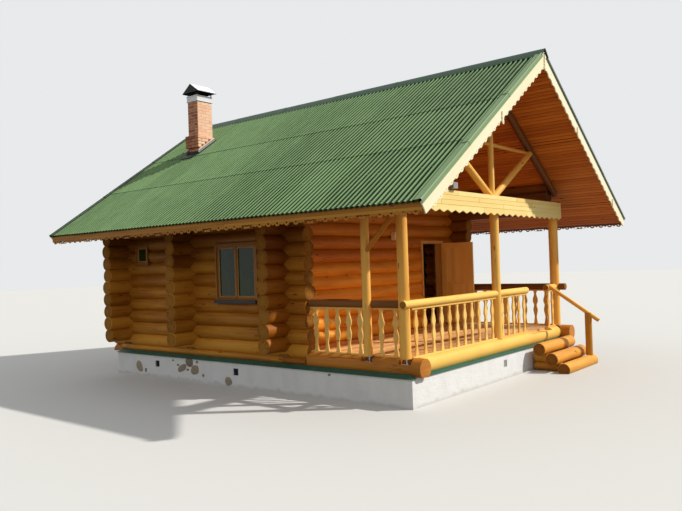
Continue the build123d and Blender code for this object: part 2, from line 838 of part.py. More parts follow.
clad_thickness = 20
clad_above_tie = 195
clad_below_tie = 160
clad_teeth = 23
clad_tooth_height = 50
clad_top = tie_centre_height + clad_above_tie
clad_bottom = tie_centre_height - clad_below_tie
tooth_width = 2 * (wall_x - log_radius) / clad_teeth
with BuildPart() as tie_boards:
    with BuildSketch(facing(rim_y - tie_diameter / 2)):
        with Locations((0, clad_bottom)):
            Rectangle(
                2 * (wall_x - log_radius),
                clad_top - clad_bottom,
                align=(Align.CENTER, Align.MIN),
            )
        with Locations((0, clad_bottom)):
            with GridLocations(tooth_width, 0, clad_teeth, 1):
                Polygon(
                    (-tooth_width / 2, 1),
                    (-tooth_width / 2, 0),
                    (0, -clad_tooth_height),
                    (tooth_width / 2, 0),
                    (tooth_width / 2, 1),
                    align=None,
                )
    extrude(amount=clad_thickness)
save(tie_boards.part, "tie_boards")

rafter_flat = 8
tie_top = 2 * tie_centre_height - tie_flat
rafter_centre_depth = slab_under_depth + truss_log / 2 - rafter_flat
with BuildPart() as truss_rafters:
    for side in (-1, 1):
        slope = Plane(
            origin=(0, rim_y, roof_z(0, rafter_centre_depth)),
            z_dir=(side * cos(radians(roof_angle)), 0, -sin(radians(roof_angle))),
        )
        with BuildSketch(slope):
            Circle(truss_log / 2)
        extrude(amount=roof_half * level_share)
    with BuildSketch(facing(rim_y - truss_log)):
        Polygon(
            (-(wall_x - log_radius), 0),
            (wall_x - log_radius, 0),
            (wall_x - log_radius, roof_z(wall_x - log_radius, slab_under_depth)),
            (0, roof_z(0, slab_under_depth)),
            (-(wall_x - log_radius), roof_z(wall_x - log_radius, slab_under_depth)),
            align=None,
        )
    extrude(amount=-2 * truss_log, mode=Mode.INTERSECT)
save(truss_rafters.part, "truss_rafters")

rafter_under_depth = rafter_centre_depth + truss_log / 2 + seat
with BuildPart() as king_post:
    with BuildSketch(Plane.XY.offset(tie_top)):
        with Locations((0, rim_y)):
            Circle(truss_log / 2)
    extrude(amount=ridge_height)
    with BuildSketch(facing(rim_y - truss_log)):
        Polygon(
            (-truss_log, tie_top),
            (truss_log, tie_top),
            (truss_log, roof_z(truss_log, rafter_under_depth)),
            (0, roof_z(0, rafter_under_depth)),
            (-truss_log, roof_z(truss_log, rafter_under_depth)),
            align=None,
        )
    extrude(amount=-2 * truss_log, mode=Mode.INTERSECT)
save(king_post.part, "king_post")

strut_reach = 1900
strut_diameter = 140
strut_foot_x = 60
strut_foot_lift = 40
strut_rise = roof_z(strut_reach, rafter_under_depth) - tie_top - strut_foot_lift
with BuildPart() as truss_struts:
    for side in (-1, 1):
        strut = Plane(
            origin=(side * strut_foot_x, rim_y, tie_top + strut_foot_lift),
            z_dir=(side * (strut_reach - strut_foot_x), 0, strut_rise),
        )
        with BuildSketch(strut):
            Circle(strut_diameter / 2)
        extrude(amount=2 * strut_reach, both=True)
    with BuildSketch(facing(rim_y - truss_log)):
        for side in (-1, 1):
            Polygon(
                (side * (truss_log / 2 + seat), tie_top),
                (side * (wall_x - log_radius), tie_top),
                (side * (wall_x - log_radius), roof_z(wall_x - log_radius, rafter_under_depth)),
                (side * (truss_log / 2 + seat), roof_z(truss_log / 2, rafter_under_depth)),
                align=None,
            )
    extrude(amount=-2 * truss_log, mode=Mode.INTERSECT)
save(truss_struts.part, "truss_struts")

collar_below_ridge = 1585
collar_log = 70
collar_z = ridge_height - collar_below_ridge
collar_reach = (collar_below_ridge - rafter_under_depth * level_share) / rise
with BuildPart() as truss_collar:
    with BuildSketch(sideways(-collar_reach)):
        with Locations((rim_y, collar_z)):
            Circle(collar_log / 2)
    extrude(amount=2 * collar_reach)
    with BuildSketch(facing(rim_y - truss_log)):
        Polygon(
            (-collar_reach * 2, 0),
            (collar_reach * 2, 0),
            (collar_reach * 2, roof_z(collar_reach * 2, rafter_under_depth)),
            (0, roof_z(0, rafter_under_depth)),
            (-collar_reach * 2, roof_z(collar_reach * 2, rafter_under_depth)),
            align=None,
        )
    extrude(amount=-2 * truss_log, mode=Mode.INTERSECT)
    add(king_post.part, mode=Mode.SUBTRACT)
    add(truss_struts.part, mode=Mode.SUBTRACT)
save(truss_collar.part, "truss_collar")

# balustrades
baluster_spacing = 273
baluster_thickness = 25
rail_foot = 30
bay_end_gap = 20
baluster_top = rail_height - rail_diameter / 2
baluster_height = baluster_top - floor_level - 2 * rail_foot
baluster_waists = (
    (0.0, 50),
    (0.07, 40),
    (0.2, 25),
    (0.43, 55),
    (0.57, 33),
    (0.69, 64),
    (0.93, 25),
    (1.0, 50),
)
with BuildSketch() as baluster_outline:
    with BuildLine():
        right_edge = Spline(*[(half, share * baluster_height) for share, half in baluster_waists])
        left_edge = Spline(*[(-half, share * baluster_height) for share, half in baluster_waists])
        Line(left_edge @ 0, right_edge @ 0)
        Line(left_edge @ 1, right_edge @ 1)
    make_face()


def balustrade(plane, start, end):
    """One bay of sawn balusters between a foot rail and a top board."""
    length = end - start
    count = max(2, round(length / baluster_spacing))
    with BuildSketch(plane) as bay:
        with Locations(((start + end) / 2, floor_level)):
            Rectangle(length, rail_foot, align=(Align.CENTER, Align.MIN))
        with Locations(((start + end) / 2, baluster_top)):
            Rectangle(length, rail_foot, align=(Align.CENTER, Align.MAX))
        for number in range(count):
            with Locations((start + (number + 0.5) * length / count, floor_level + rail_foot)):
                add(baluster_outline.sketch)
    extrude(bay.sketch, amount=baluster_thickness)


with BuildPart() as front_balustrade:
    front_plane = facing(rim_y + baluster_thickness / 2)
    balustrade(
        front_plane,
        corner_post_x + post_diameter / 2 + seat,
        middle_post_x - side_post_diameter / 2 - seat,
    )
    balustrade(front_plane, middle_post_x + side_post_diameter / 2 + seat, rail_end - bay_end_gap)
    balustrade(front_plane, entrance_right, right_post_x - post_diameter / 2 - seat)
save(front_balustrade.part, "front_balustrade")

with BuildPart() as side_balustrades:
    left_plane = sideways(-wall_x - baluster_thickness / 2)
    balustrade(left_plane, corner_post_y + post_diameter / 2, side_post_y - side_post_diameter / 2)
    balustrade(left_plane, side_post_y + side_post_diameter / 2, long_wall_front - seat)
    right_plane = sideways(wall_x - baluster_thickness / 2)
    balustrade(right_plane, right_post_y + post_diameter / 2, long_wall_front - seat)
save(side_balustrades.part, "side_balustrades")

# log steps
step_diameter = 270
step_right = entrance_right + stair_past_entrance
step_left = step_right - stair_width
steps = ((250, 470), (515, 272), (770, 75))
with BuildPart() as log_steps:
    for out, height in steps:
        with BuildSketch(sideways(step_left)):
            with Locations((front_y - out, height)):
                Circle(step_diameter / 2)
            with Locations((front_y - out, 0)):
                Rectangle(
                    2 * step_diameter,
                    step_diameter,
                    align=(Align.CENTER, Align.MAX),
                    mode=Mode.SUBTRACT,
                )
        extrude(amount=step_right - step_left)
save(log_steps.part, "log_steps")

# short logs that carry the steps
bearer_diameter = 180
bearer_inset = 300
bearer_gap = 5
bearer_rows = ((90, 640), (262, 380))
with BuildPart() as stair_bearers:
    for x in (step_left + bearer_inset, step_right - bearer_inset):
        for height, out in bearer_rows:
            with BuildSketch(facing(front_y - out)):
                with Locations((x, height)):
                    Circle(bearer_diameter / 2)
            extrude(amount=-(out - strip_overhang - bearer_gap))
    for out, height in steps:
        with BuildSketch(sideways(step_left)):
            with Locations((front_y - out, height)):
                Circle(step_diameter / 2 + seat)
        extrude(amount=step_right - step_left, mode=Mode.SUBTRACT)
save(stair_bearers.part, "stair_bearers")

# newel and sloping handrail on the stair's right side
stair_rail_past_entrance = 80
stair_rail_diameter = 90
stair_rail_slope = 0.68
stair_rail_reach = 1000
stair_rail_lift = 65
newel_out = 770
newel_diameter = 150
stair_rail_x = entrance_right + stair_rail_past_entrance
stair_rail_start = rail_height + stair_rail_lift


def stair_rail_z(out):
    """Height of the sloping rail's centre at a distance in front of the foundation."""
    return stair_rail_start - stair_rail_slope * (front_rim_inset + out)


newel_top = stair_rail_z(newel_out)
with BuildPart() as stair_handrail:
    direction = Vector(0, -1, -stair_rail_slope)
    with BuildSketch(Plane(origin=(stair_rail_x, rim_y, stair_rail_start), z_dir=direction)):
        Circle(stair_rail_diameter / 2)
    extrude(amount=(front_rim_inset + stair_rail_reach) * sqrt(1 + stair_rail_slope**2))
    add(handrails.part, mode=Mode.SUBTRACT)
save(stair_handrail.part, "stair_handrail")

with BuildPart() as newel_post:
    with BuildSketch():
        with Locations((stair_rail_x, front_y - newel_out)):
            Circle(newel_diameter / 2)
    extrude(amount=newel_top)
    add(log_steps.part, mode=Mode.SUBTRACT)
    add(stair_handrail.part, mode=Mode.SUBTRACT)
    with BuildSketch():
        with Locations((stair_rail_x, front_y - newel_out)):
            Circle(newel_diameter)
    extrude(amount=steps[2][1], mode=Mode.SUBTRACT)
save(newel_post.part, "newel_post")

# door frame and leaf; the leaf stands open at a right angle, its hinge on the right jamb
frame_depth = 200
frame_proud = 10
stop_width = 15
knuckle_radius = 8
leaf_back = front_wall_y - log_radius - frame_proud
hinge_y = leaf_back - knuckle_radius
with BuildPart() as door_frame:
    with BuildSketch(facing(leaf_back)):
        with Locations(((opening_left + opening_right) / 2, opening_bottom)):
            Rectangle(
                opening_right - opening_left - 2 * seat,
                opening_top - opening_bottom - seat,
                align=(Align.CENTER, Align.MIN),
            )
        with Locations(((door_left_x + door_hinge_x) / 2, threshold_top)):
            Rectangle(
                door_hinge_x - door_left_x,
                door_height + 2 * door_gap,
                align=(Align.CENTER, Align.MIN),
                mode=Mode.SUBTRACT,
            )
    extrude(amount=-frame_depth)
    with BuildSketch(facing(leaf_back + door_thickness + door_gap)):
        with Locations(((door_left_x + door_hinge_x) / 2, threshold_top)):
            Rectangle(
                door_hinge_x - door_left_x,
                door_height + 2 * door_gap,
                align=(Align.CENTER, Align.MIN),
            )
            Rectangle(
                door_hinge_x - door_left_x - 2 * stop_width,
                door_height + 2 * door_gap - stop_width,
                align=(Align.CENTER, Align.MIN),
                mode=Mode.SUBTRACT,
            )
    extrude(amount=-(frame_depth - door_thickness - door_gap))
save(door_frame.part, "door_frame")

stile_width = 140
panel_recess = 9
panel_spans = ((130, 960), (1020, 1870))
leaf_right_x = door_hinge_x - knuckle_radius
leaf_left_x = leaf_right_x - door_thickness
leaf_bottom = threshold_top + door_gap
leaf_middle_y = hinge_y - door_gap - door_width / 2
with BuildPart() as door_leaf:
    with BuildSketch(Plane.XY.offset(leaf_bottom)):
        with Locations((leaf_right_x, hinge_y - door_gap)):
            Rectangle(door_thickness, door_width, align=(Align.MAX, Align.MAX))
    extrude(amount=door_height)
    for recess_x in (leaf_left_x, leaf_right_x - panel_recess):
        with BuildSketch(sideways(recess_x)):
            for low, high in panel_spans:
                with Locations((leaf_middle_y, leaf_bottom + low)):
                    Rectangle(door_width - 2 * stile_width, high - low, align=(Align.CENTER, Align.MIN))
        extrude(amount=panel_recess, mode=Mode.SUBTRACT)
save(door_leaf.part, "door_leaf")

# hinges: pins and plates on the jamb, knuckles and plates on the leaf
knuckle_length = 45
hinge_heights = (300, 1000, 1700)
jamb_plate = 40
leaf_plate = 60
hinge_plate_thickness = 3
knuckle_gap = 1
pin_radius = 4
pin_play = 0.3
with BuildPart() as hinge_pins:
    for height in hinge_heights:
        with BuildSketch(Plane.XY.offset(leaf_bottom + height)):
            with Locations((door_hinge_x, hinge_y)):
                Circle(knuckle_radius)
            with Locations((door_hinge_x, leaf_back - seat)):
                Rectangle(jamb_plate, hinge_plate_thickness, align=(Align.MIN, Align.MAX))
        extrude(amount=knuckle_length)
        with BuildSketch(Plane.XY.offset(leaf_bottom + height)):
            with Locations((door_hinge_x, hinge_y)):
                Circle(pin_radius)
        extrude(amount=2 * knuckle_length)
save(hinge_pins.part, "hinge_pins")

with BuildPart() as leaf_hinges:
    for height in hinge_heights:
        with BuildSketch(Plane.XY.offset(leaf_bottom + height + knuckle_length + knuckle_gap)):
            with Locations((door_hinge_x, hinge_y)):
                Circle(knuckle_radius)
            with Locations((door_hinge_x - knuckle_radius, hinge_y)):
                Rectangle(hinge_plate_thickness, leaf_plate, align=(Align.MIN, Align.MAX))
            with Locations((door_hinge_x, hinge_y)):
                Circle(pin_radius + pin_play, mode=Mode.SUBTRACT)
        extrude(amount=knuckle_length)
save(leaf_hinges.part, "leaf_hinges")

# windows in the long walls
casing_width = 90
casing_thickness = 25
window_frame_width = 50
window_depth = 150
sash_width = 60
sash_setback = 60
sash_thickness = 60
glass_thickness = 24
casing_face = wall_x + wall_face + seat
with BuildPart() as window_glass:
    for side in (-1, 1):
        for distance, sill, width, height in window_openings:
            glass_centre = casing_face - sash_setback - sash_thickness / 2
            with BuildSketch(sideways(side * glass_centre - glass_thickness / 2)):
                with Locations((front_y + distance, sill + height / 2)):
                    Rectangle(
                        width - 2 * (window_frame_width + sash_width / 2),
                        height - 2 * (window_frame_width + sash_width / 2),
                    )
            extrude(amount=glass_thickness)
with BuildPart() as window_frames:
    for side in (-1, 1):
        for distance, sill, width, height in window_openings:
            centre = (front_y + distance, sill + height / 2)
            with BuildSketch(sideways(side * casing_face)):
                with Locations(centre):
                    Rectangle(width + 2 * casing_width, height + 2 * casing_width)
                    Rectangle(
                        width - 2 * window_frame_width,
                        height - 2 * window_frame_width,
                        mode=Mode.SUBTRACT,
                    )
            extrude(amount=side * casing_thickness)
            with BuildSketch(sideways(side * casing_face)):
                with Locations(centre):
                    Rectangle(width - 2 * seat, height - 2 * seat)
                    Rectangle(
                        width - 2 * window_frame_width,
                        height - 2 * window_frame_width,
                        mode=Mode.SUBTRACT,
                    )
            extrude(amount=-side * window_depth)
            with BuildSketch(sideways(side * (casing_face - sash_setback))):
                with Locations(centre):
                    Rectangle(width - 2 * window_frame_width, height - 2 * window_frame_width)
                    Rectangle(
                        width - 2 * (window_frame_width + sash_width),
                        height - 2 * (window_frame_width + sash_width),
                        mode=Mode.SUBTRACT,
                    )
                    if width > 2 * small_window_size:
                        Rectangle(2 * sash_width, height - 2 * window_frame_width)
            extrude(amount=-side * sash_thickness)
    add(window_glass.part, mode=Mode.SUBTRACT)
save(window_frames.part, "window_frames")
save(window_glass.part, "window_glass")

sill_height = 70
sill_reach = 60
sill_horn = 30
with BuildPart() as window_sills:
    for side in (-1, 1):
        with BuildSketch(sideways(side * (casing_face + casing_thickness + seat))):
            with Locations((front_y + main_window_from_front, window_sill_height)):
                Rectangle(
                    main_window_width + 2 * sill_horn,
                    sill_height,
                    align=(Align.CENTER, Align.MAX),
                )
        extrude(amount=side * sill_reach)
save(window_sills.part, "window_sills")

# lamps
lamp_from_door = 1177
lamp_above_floor = 2240
lamp_width = 150
lamp_height = 210
lamp_depth = 110
lamp_let_in = 20
lamp_x = opening_left - lamp_from_door
with BuildPart() as wall_lamp:
    with BuildSketch(facing(front_wall_y - log_radius + lamp_let_in)):
        with Locations((lamp_x, floor_level + lamp_above_floor)):
            Ellipse(lamp_width / 2, lamp_height / 2)
    extrude(amount=lamp_depth)
    with BuildSketch(sideways(lamp_x - lamp_width)) as logs_behind:
        log_stack(front_wall_y, cross_wall_first_centre, cross_wall_courses)
    extrude(logs_behind.sketch, amount=2 * lamp_width, mode=Mode.SUBTRACT)
save(wall_lamp.part, "wall_lamp")

flood_from_left = 1507
flood_width = 160
flood_height = 110
flood_depth = 110
flood_back = 20
foot_width = 30
foot_height = 40
foot_lap = 10
flood_x = flood_from_left - half_width
with BuildPart() as floodlight:
    with BuildSketch(Plane.XY.offset(clad_top)):
        with Locations((flood_x, rim_y - tie_diameter / 2 - clad_thickness / 2)):
            Rectangle(foot_width, clad_thickness)
    extrude(amount=foot_height)
    with BuildSketch(facing(rim_y - tie_diameter / 2 + flood_back)):
        with Locations((flood_x, clad_top + foot_height - foot_lap)):
            Rectangle(flood_width, flood_height, align=(Align.CENTER, Align.MIN))
    extrude(amount=flood_depth)
save(floodlight.part, "floodlight")
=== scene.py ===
"""Looks of the log bathhouse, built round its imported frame."""

import math
import random

import bmesh
import bpy
from mathutils import Matrix, Vector, noise


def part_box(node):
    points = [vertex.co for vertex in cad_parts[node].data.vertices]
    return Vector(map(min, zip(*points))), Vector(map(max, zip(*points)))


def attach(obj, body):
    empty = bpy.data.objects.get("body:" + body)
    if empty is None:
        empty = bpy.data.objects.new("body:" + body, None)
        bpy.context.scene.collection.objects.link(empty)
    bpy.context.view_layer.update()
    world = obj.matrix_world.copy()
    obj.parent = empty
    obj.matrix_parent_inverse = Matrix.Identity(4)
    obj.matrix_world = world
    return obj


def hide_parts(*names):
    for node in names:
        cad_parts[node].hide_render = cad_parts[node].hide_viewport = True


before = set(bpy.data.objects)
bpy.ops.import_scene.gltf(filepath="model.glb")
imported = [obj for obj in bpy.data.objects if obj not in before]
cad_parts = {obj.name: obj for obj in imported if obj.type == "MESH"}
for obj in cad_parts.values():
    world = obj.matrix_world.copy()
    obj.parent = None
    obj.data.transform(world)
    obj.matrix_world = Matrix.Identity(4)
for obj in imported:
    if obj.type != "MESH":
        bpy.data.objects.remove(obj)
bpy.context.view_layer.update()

# Sizes of the house, in metres

X = Vector((1, 0, 0))
Y = Vector((0, 1, 0))
Z = Vector((0, 0, 1))
left_right = ((-1, "left"), (1, "right"))
front_back = ((-1, "front"), (1, "back"))

house_low, house_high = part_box("foundation")
foundation_top = house_high.z
foundation_front = house_low.y
half_width = house_high.x

log_radius = 0.155
log_pitch = 0.278
wall_x = 3.120
long_first = 0.508
cross_first = 0.647
front_wall_y = -1.072
middle_wall_y = 1.723
back_wall_y = 4.073
long_front = -1.672
long_back = 4.673
stub_x = 3.800
flush_x = 3.262

slope_angle = math.radians(34.1)
slope_sin = math.sin(slope_angle)
slope_cos = math.cos(slope_angle)
rise = math.tan(slope_angle)
ridge_height = 6.335
roof_half = 4.555
slope_length = roof_half / slope_cos
verge_y = 5.108
slab_top = 0.040
slab_under = 0.115

floor_top = 0.790
board_middle = floor_top - 0.020
rim_y = -3.927
rail_height = 1.710
rail_radius = 0.070
plate_first = 3.566
plate_under = 3.423
tie_height = 3.495
tie_under = tie_height - 0.145
tie_top = tie_height + 0.145

shaft_left = -1.547
shaft_right = -1.075
shaft_front = 3.339
shaft_back = 3.713
cap_low, cap_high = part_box("chimney_cap")
shaft_top = cap_low.z
hood_top = cap_high.z


def at(x, y, z):
    return Vector((x, y, z))


def roof_z(x, depth):
    """Height of the roof at x, on the plane that lies depth below the sheets' crests."""
    return ridge_height - abs(x) * rise - depth / slope_cos


def roof_out(side):
    """The way one slope of the roof looks."""
    return at(side * slope_sin, 0, slope_cos)


def on_slope(side, down, y, depth):
    """The point of one roof slope at a distance down from the ridge."""
    along = at(side * slope_cos, 0, -slope_sin)
    return at(0, y, ridge_height) + down * along - depth * roof_out(side)


# Materials


def tint(red, green, blue):
    """A colour from its screen values, 0 to 255."""
    channels = []
    for value in (red, green, blue):
        share = value / 255
        channels.append(share / 12.92 if share <= 0.04045 else ((share + 0.055) / 1.055) ** 2.4)
    return (*channels, 1.0)


class Wire:
    """A socket that gives a value. Arithmetic on it adds Math nodes."""

    def __init__(self, web, socket):
        self.web = web
        self.socket = socket

    def reckon(self, operation, first, second=0.0):
        return self.web.add("ShaderNodeMath", {"operation": operation}, {0: first, 1: second})

    def __add__(self, other):
        return self.reckon("ADD", self, other)

    def __radd__(self, other):
        return self.reckon("ADD", other, self)

    def __sub__(self, other):
        return self.reckon("SUBTRACT", self, other)

    def __rsub__(self, other):
        return self.reckon("SUBTRACT", other, self)

    def __mul__(self, other):
        return self.reckon("MULTIPLY", self, other)

    def __abs__(self):
        return self.reckon("ABSOLUTE", self)

    def steps(self, low, high):
        """0 below low, 1 above high, smooth between them."""
        settings = {"interpolation_type": "SMOOTHSTEP"}
        values = {"Value": self, "From Min": low, "From Max": high}
        return self.web.add("ShaderNodeMapRange", settings, values)


class Web:
    """The nodes of a material or of the world."""

    def __init__(self, owner):
        owner.use_nodes = True
        self.tree = owner.node_tree

    def feed(self, socket, value):
        if isinstance(value, Wire):
            self.tree.links.new(value.socket, socket)
        else:
            socket.default_value = value

    def add(self, kind, settings=None, values=None, output=0):
        """One node: its settings first, then the values or links of its sockets."""
        node = self.tree.nodes.new(kind)
        for name, value in (settings or {}).items():
            if name == "stops":
                ramp = node.color_ramp
                while len(ramp.elements) < len(value):
                    ramp.elements.new(0.5)
                for element, (position, colour) in zip(ramp.elements, value):
                    element.position = position
                    element.color = colour
            else:
                setattr(node, name, value)
        for name, value in (values or {}).items():
            self.feed(node.inputs[name], value)
        return Wire(self, node.outputs[output])

    def show(self, output, lit, seen):
        """One surface to light the house with, and another for what the camera sees of it."""
        rays = [self.add("ShaderNodeLightPath", output=f"Is {kind} Ray")
                for kind in ("Camera", "Glossy", "Transmission")]
        direct = rays[0].reckon("MAXIMUM", rays[0], rays[1])
        direct = direct.reckon("MAXIMUM", direct, rays[2])
        mixed = self.add("ShaderNodeMixShader", values={0: direct, 1: lit, 2: seen})
        self.feed(self.tree.nodes[output].inputs["Surface"], mixed)


class Finish(Web):
    """A procedural material with one Principled shader."""

    def __init__(self, name, **sockets):
        self.material = bpy.data.materials.new(name)
        super().__init__(self.material)
        self.shader = self.tree.nodes["Principled BSDF"]
        self.set(**sockets)

    def set(self, **sockets):
        """Values or links for the shader's sockets, named with underscores."""
        for name, value in sockets.items():
            self.feed(self.shader.inputs[name.replace("_", " ").title().replace("Ior", "IOR")], value)

    def done(self, colour, roughness, height, distance, strength):
        """The material, once it has its colour, its roughness and its relief."""
        values = {"Height": height, "Distance": distance, "Strength": strength}
        self.set(base_color=colour, roughness=roughness, normal=self.add("ShaderNodeBump", values=values))
        return self.material

    def place(self):
        return self.add("ShaderNodeTexCoord", output="Object")

    def painted(self):
        """The grain and the tone kept in the mesh."""
        grain = self.add("ShaderNodeAttribute", {"attribute_name": "grain"}, output="Vector")
        return grain, self.add("ShaderNodeAttribute", {"attribute_name": "tone"}, output="Fac")

    def vector(self, operation, *values, output="Vector"):
        settings = {"operation": operation}
        return self.add("ShaderNodeVectorMath", settings, dict(enumerate(values)), output)

    def stretched(self, vector, factors):
        return self.vector("MULTIPLY", vector, factors)

    def clouds(self, vector, scale, detail=3.0, roughness=0.55, distortion=0.0):
        """Noise of one scale, or of a scale for each axis."""
        if isinstance(scale, tuple):
            vector, scale = self.stretched(vector, scale), 1.0
        values = {"Vector": vector, "Scale": scale, "Detail": detail, "Roughness": roughness,
                  "Distortion": distortion}
        return self.add("ShaderNodeTexNoise", {"noise_dimensions": "3D"}, values)

    def cells(self, vector, scale, output="Distance"):
        return self.add("ShaderNodeTexVoronoi", {"feature": "F1"}, {"Vector": vector, "Scale": scale}, output)

    def axis(self, vector, letter):
        return self.add("ShaderNodeSeparateXYZ", values={0: vector}, output=letter)

    def blend(self, share, first, second, mode="MIX"):
        """A colour between two colours, each a wire or screen values."""
        first, second = (tint(*colour) if isinstance(colour, tuple) else colour for colour in (first, second))
        settings = {"data_type": "RGBA", "blend_type": mode}
        return self.add("ShaderNodeMix", settings, {0: share, 6: first, 7: second}, output=2)

    def darkened(self, colour, share, shade):
        """A colour times a shade, by a share."""
        return self.blend(share, colour, shade, "MULTIPLY")


def wood(name, light, dark, knot, streaks=0.5, tones=0.3, cracks=0.0, roughness=0.5, along=None,
         eave=0.0, stub=0.0):
    """Planed or peeled wood with its grain along the piece, its knots and its drying cracks.

    The grain lies in the mesh; for a CAD node, along is the factors that stretch it.
    eave darkens the wood towards the eaves as painted shade, stub the log ends outside the walls as painted
    shade.
    """
    finish = Finish(name, specular_ior_level=0.2)
    if along is None:
        grain, tone = finish.painted()
    else:
        grain = finish.stretched(finish.place(), along)
        tone = finish.clouds(finish.place(), 1.7, 0.0)
    broad = finish.clouds(grain, (0.8, 14, 14), 3.0, 0.6, 0.4)
    fine = finish.clouds(grain, (2.5, 120, 120), 3.0, 0.65)
    patch = finish.clouds(grain, (0.9, 2.2, 2.2), 2.0)
    share = (broad - 0.5) * (1.6 * streaks) + (fine - 0.5) * 0.35 + (patch - 0.5) * 0.7
    share = share + 0.4 + (tone - 0.5) * (2 * tones)
    colour = finish.blend(share.steps(0.0, 1.0), light, dark)
    knots = finish.cells(finish.stretched(grain, (1.6, 5.5, 5.5)), 1.0)
    eye = 1 - knots.steps(0.05, 0.13)
    colour = finish.darkened(colour, eye * 0.75, knot)
    # Painted shade: the wood grows darker higher up, towards the eaves.
    if eave:
        height_up = finish.axis(finish.place(), "Z") + (patch - 0.5) * 0.5
        colour = finish.darkened(colour, height_up.steps(2.0, 3.25) * eave, (120, 84, 62))
    # Painted shade: the log ends beyond the long walls are darkened.
    if stub:
        out = abs(finish.axis(finish.place(), "X"))
        colour = finish.darkened(colour, out.steps(3.05, 3.25) * stub, (110, 78, 60))
    height = fine * 0.35 + broad * 0.5 - eye * 0.4
    if cracks:
        line = abs(finish.clouds(grain, (0.35, 7, 7), 2.0, 0.6) - 0.5)
        there = finish.clouds(finish.stretched(grain, (0.8, 2, 2)), 1.3, 1.0).steps(0.5, 0.56)
        gap = (1 - line.steps(0.002, 0.008)) * there * cracks
        colour = finish.darkened(colour, gap, (70, 38, 18))
        height = height - gap * 2.0
    return finish.done(colour, (fine - 0.5) * 0.2 + roughness, height, 0.0025, 0.8)


def log_end(name, light, dark):
    """The sawn end of a log: its year rings, its heart and the cracks that run out from it."""
    finish = Finish(name, specular_ior_level=0.1)
    grain, tone = finish.painted()
    flat = finish.stretched(grain, (0, 1, 1))
    out = finish.vector("LENGTH", flat, output="Value")
    sway = finish.clouds(flat, 9.0, 2.0)
    turns = (out + sway * 0.02) * 700
    rings = turns.reckon("SINE", turns) * 0.5 + 0.5
    ray = finish.vector("NORMALIZE", flat)
    ray = finish.vector("ADD", ray, finish.stretched(grain, (3.1, 1.5, 1.5)))
    line = abs(finish.clouds(ray, 1.1, 1.0, 0.4) - 0.5)
    gap = (1 - line.steps(0.0, 0.014)) * out.steps(0.012, 0.05)
    weather = finish.clouds(grain, 16.0, 4.0)
    share = (rings - 0.5) * 0.25 + (weather - 0.5) * 0.6 + (tone - 0.5) * 0.4 + out * 2.4 + 0.1
    colour = finish.blend(share.steps(0.0, 1.0), light, dark)
    colour = finish.darkened(colour, gap * 0.7, (84, 48, 26))
    return finish.done(colour, 0.75, rings * 0.2 + weather * 0.5 - gap * 1.5, 0.003, 0.9)


def sheet_paint(name, green, deep):
    """Green bitumen sheet: light crests and dark troughs as painted light and shade, dust, and a tone for
    each sheet.
    """
    finish = Finish(name, specular_ior_level=0.08)
    place = finish.place()
    grain, tone = finish.painted()
    crest = finish.axis(grain, "Z")
    dust = finish.clouds(finish.stretched(place, (1.2, 5, 1.2)), 1.4, 5.0, 0.65)
    speck = finish.clouds(place, 260.0, 2.0, 0.7)
    share = (dust - 0.5) * 0.55 + (speck - 0.5) * 0.3 + (tone - 0.5) * 0.3
    # Painted shade in the troughs: away from the crests the colour turns to the dark one.
    share = share + 1.0 - crest.steps(0.35, 0.95)
    colour = finish.blend(share.steps(-0.1, 0.9), green, deep)
    return finish.done(colour, (dust - 0.5) * 0.3 + 0.62, speck * 0.6 + dust * 0.4, 0.0012, 0.5)


def enamel(name, paint, worn, roughness=0.4, dirt=0.3):
    """Painted or coated sheet metal with dust in patches and small scratches."""
    finish = Finish(name, specular_ior_level=0.2)
    place = finish.place()
    dust = finish.clouds(place, 3.0, 5.0, 0.65)
    scratch = finish.clouds(finish.stretched(place, (4, 60, 40)), 2.0, 2.0)
    share = dust.steps(0.35, 0.75) * dirt + (scratch - 0.5) * 0.15
    colour = finish.blend(share, paint, worn)
    return finish.done(colour, (dust - 0.5) * 0.25 + roughness, scratch * 0.4 + dust, 0.0008, 0.35)


def whitewash(name):
    """White render of the foundation: trowel marks, splash of earth at the foot, worn spots."""
    finish = Finish(name)
    place = finish.place()
    trowel = finish.clouds(finish.stretched(place, (1, 1, 1.6)), 7.0, 6.0, 0.62, 0.3)
    grit = finish.clouds(place, 90.0, 3.0, 0.6)
    stain = finish.clouds(finish.stretched(place, (2.0, 2.0, 0.7)), 1.6, 4.0, 0.6)
    foot = 1 - (finish.axis(place, "Z") + (stain - 0.5) * 0.25).steps(0.0, 0.09)
    colour = finish.blend(stain.steps(0.35, 0.8) * 0.45, (238, 238, 237), (214, 213, 210))
    colour = finish.blend(foot * 0.4, colour, (172, 160, 142))
    return finish.done(colour, 0.9, trowel + grit * 0.25, 0.012, 0.7)


def brick(name):
    """Fired bricks, each with a tone between peach and dark red, with pits and sandy faces."""
    finish = Finish(name)
    grain, tone = finish.painted()
    sand = finish.clouds(grain, 60.0, 4.0, 0.65)
    smear = finish.clouds(grain, 9.0, 3.0)
    stops = (
        (0.0, tint(248, 208, 174)), (0.4, tint(236, 178, 140)),
        (0.7, tint(190, 128, 94)), (1.0, tint(148, 86, 60)),
    )
    fired = finish.add("ShaderNodeValToRGB", {"stops": stops}, {0: tone + (smear - 0.5) * 0.25})
    pits = 1 - finish.cells(grain, 70.0).steps(0.1, 0.25)
    colour = finish.darkened(fired, pits * 0.3, (150, 110, 90))
    return finish.done(colour, 0.88, sand * 0.8 - pits, 0.003, 0.7)


def mortar(name, colour):
    finish = Finish(name)
    place = finish.place()
    damp = finish.clouds(place, 4.0, 3.0).steps(0.3, 0.8)
    colour = finish.darkened(colour, damp * 0.5, (190, 184, 174))
    return finish.done(colour, 0.93, finish.clouds(place, 150.0, 4.0, 0.7), 0.003, 0.8)


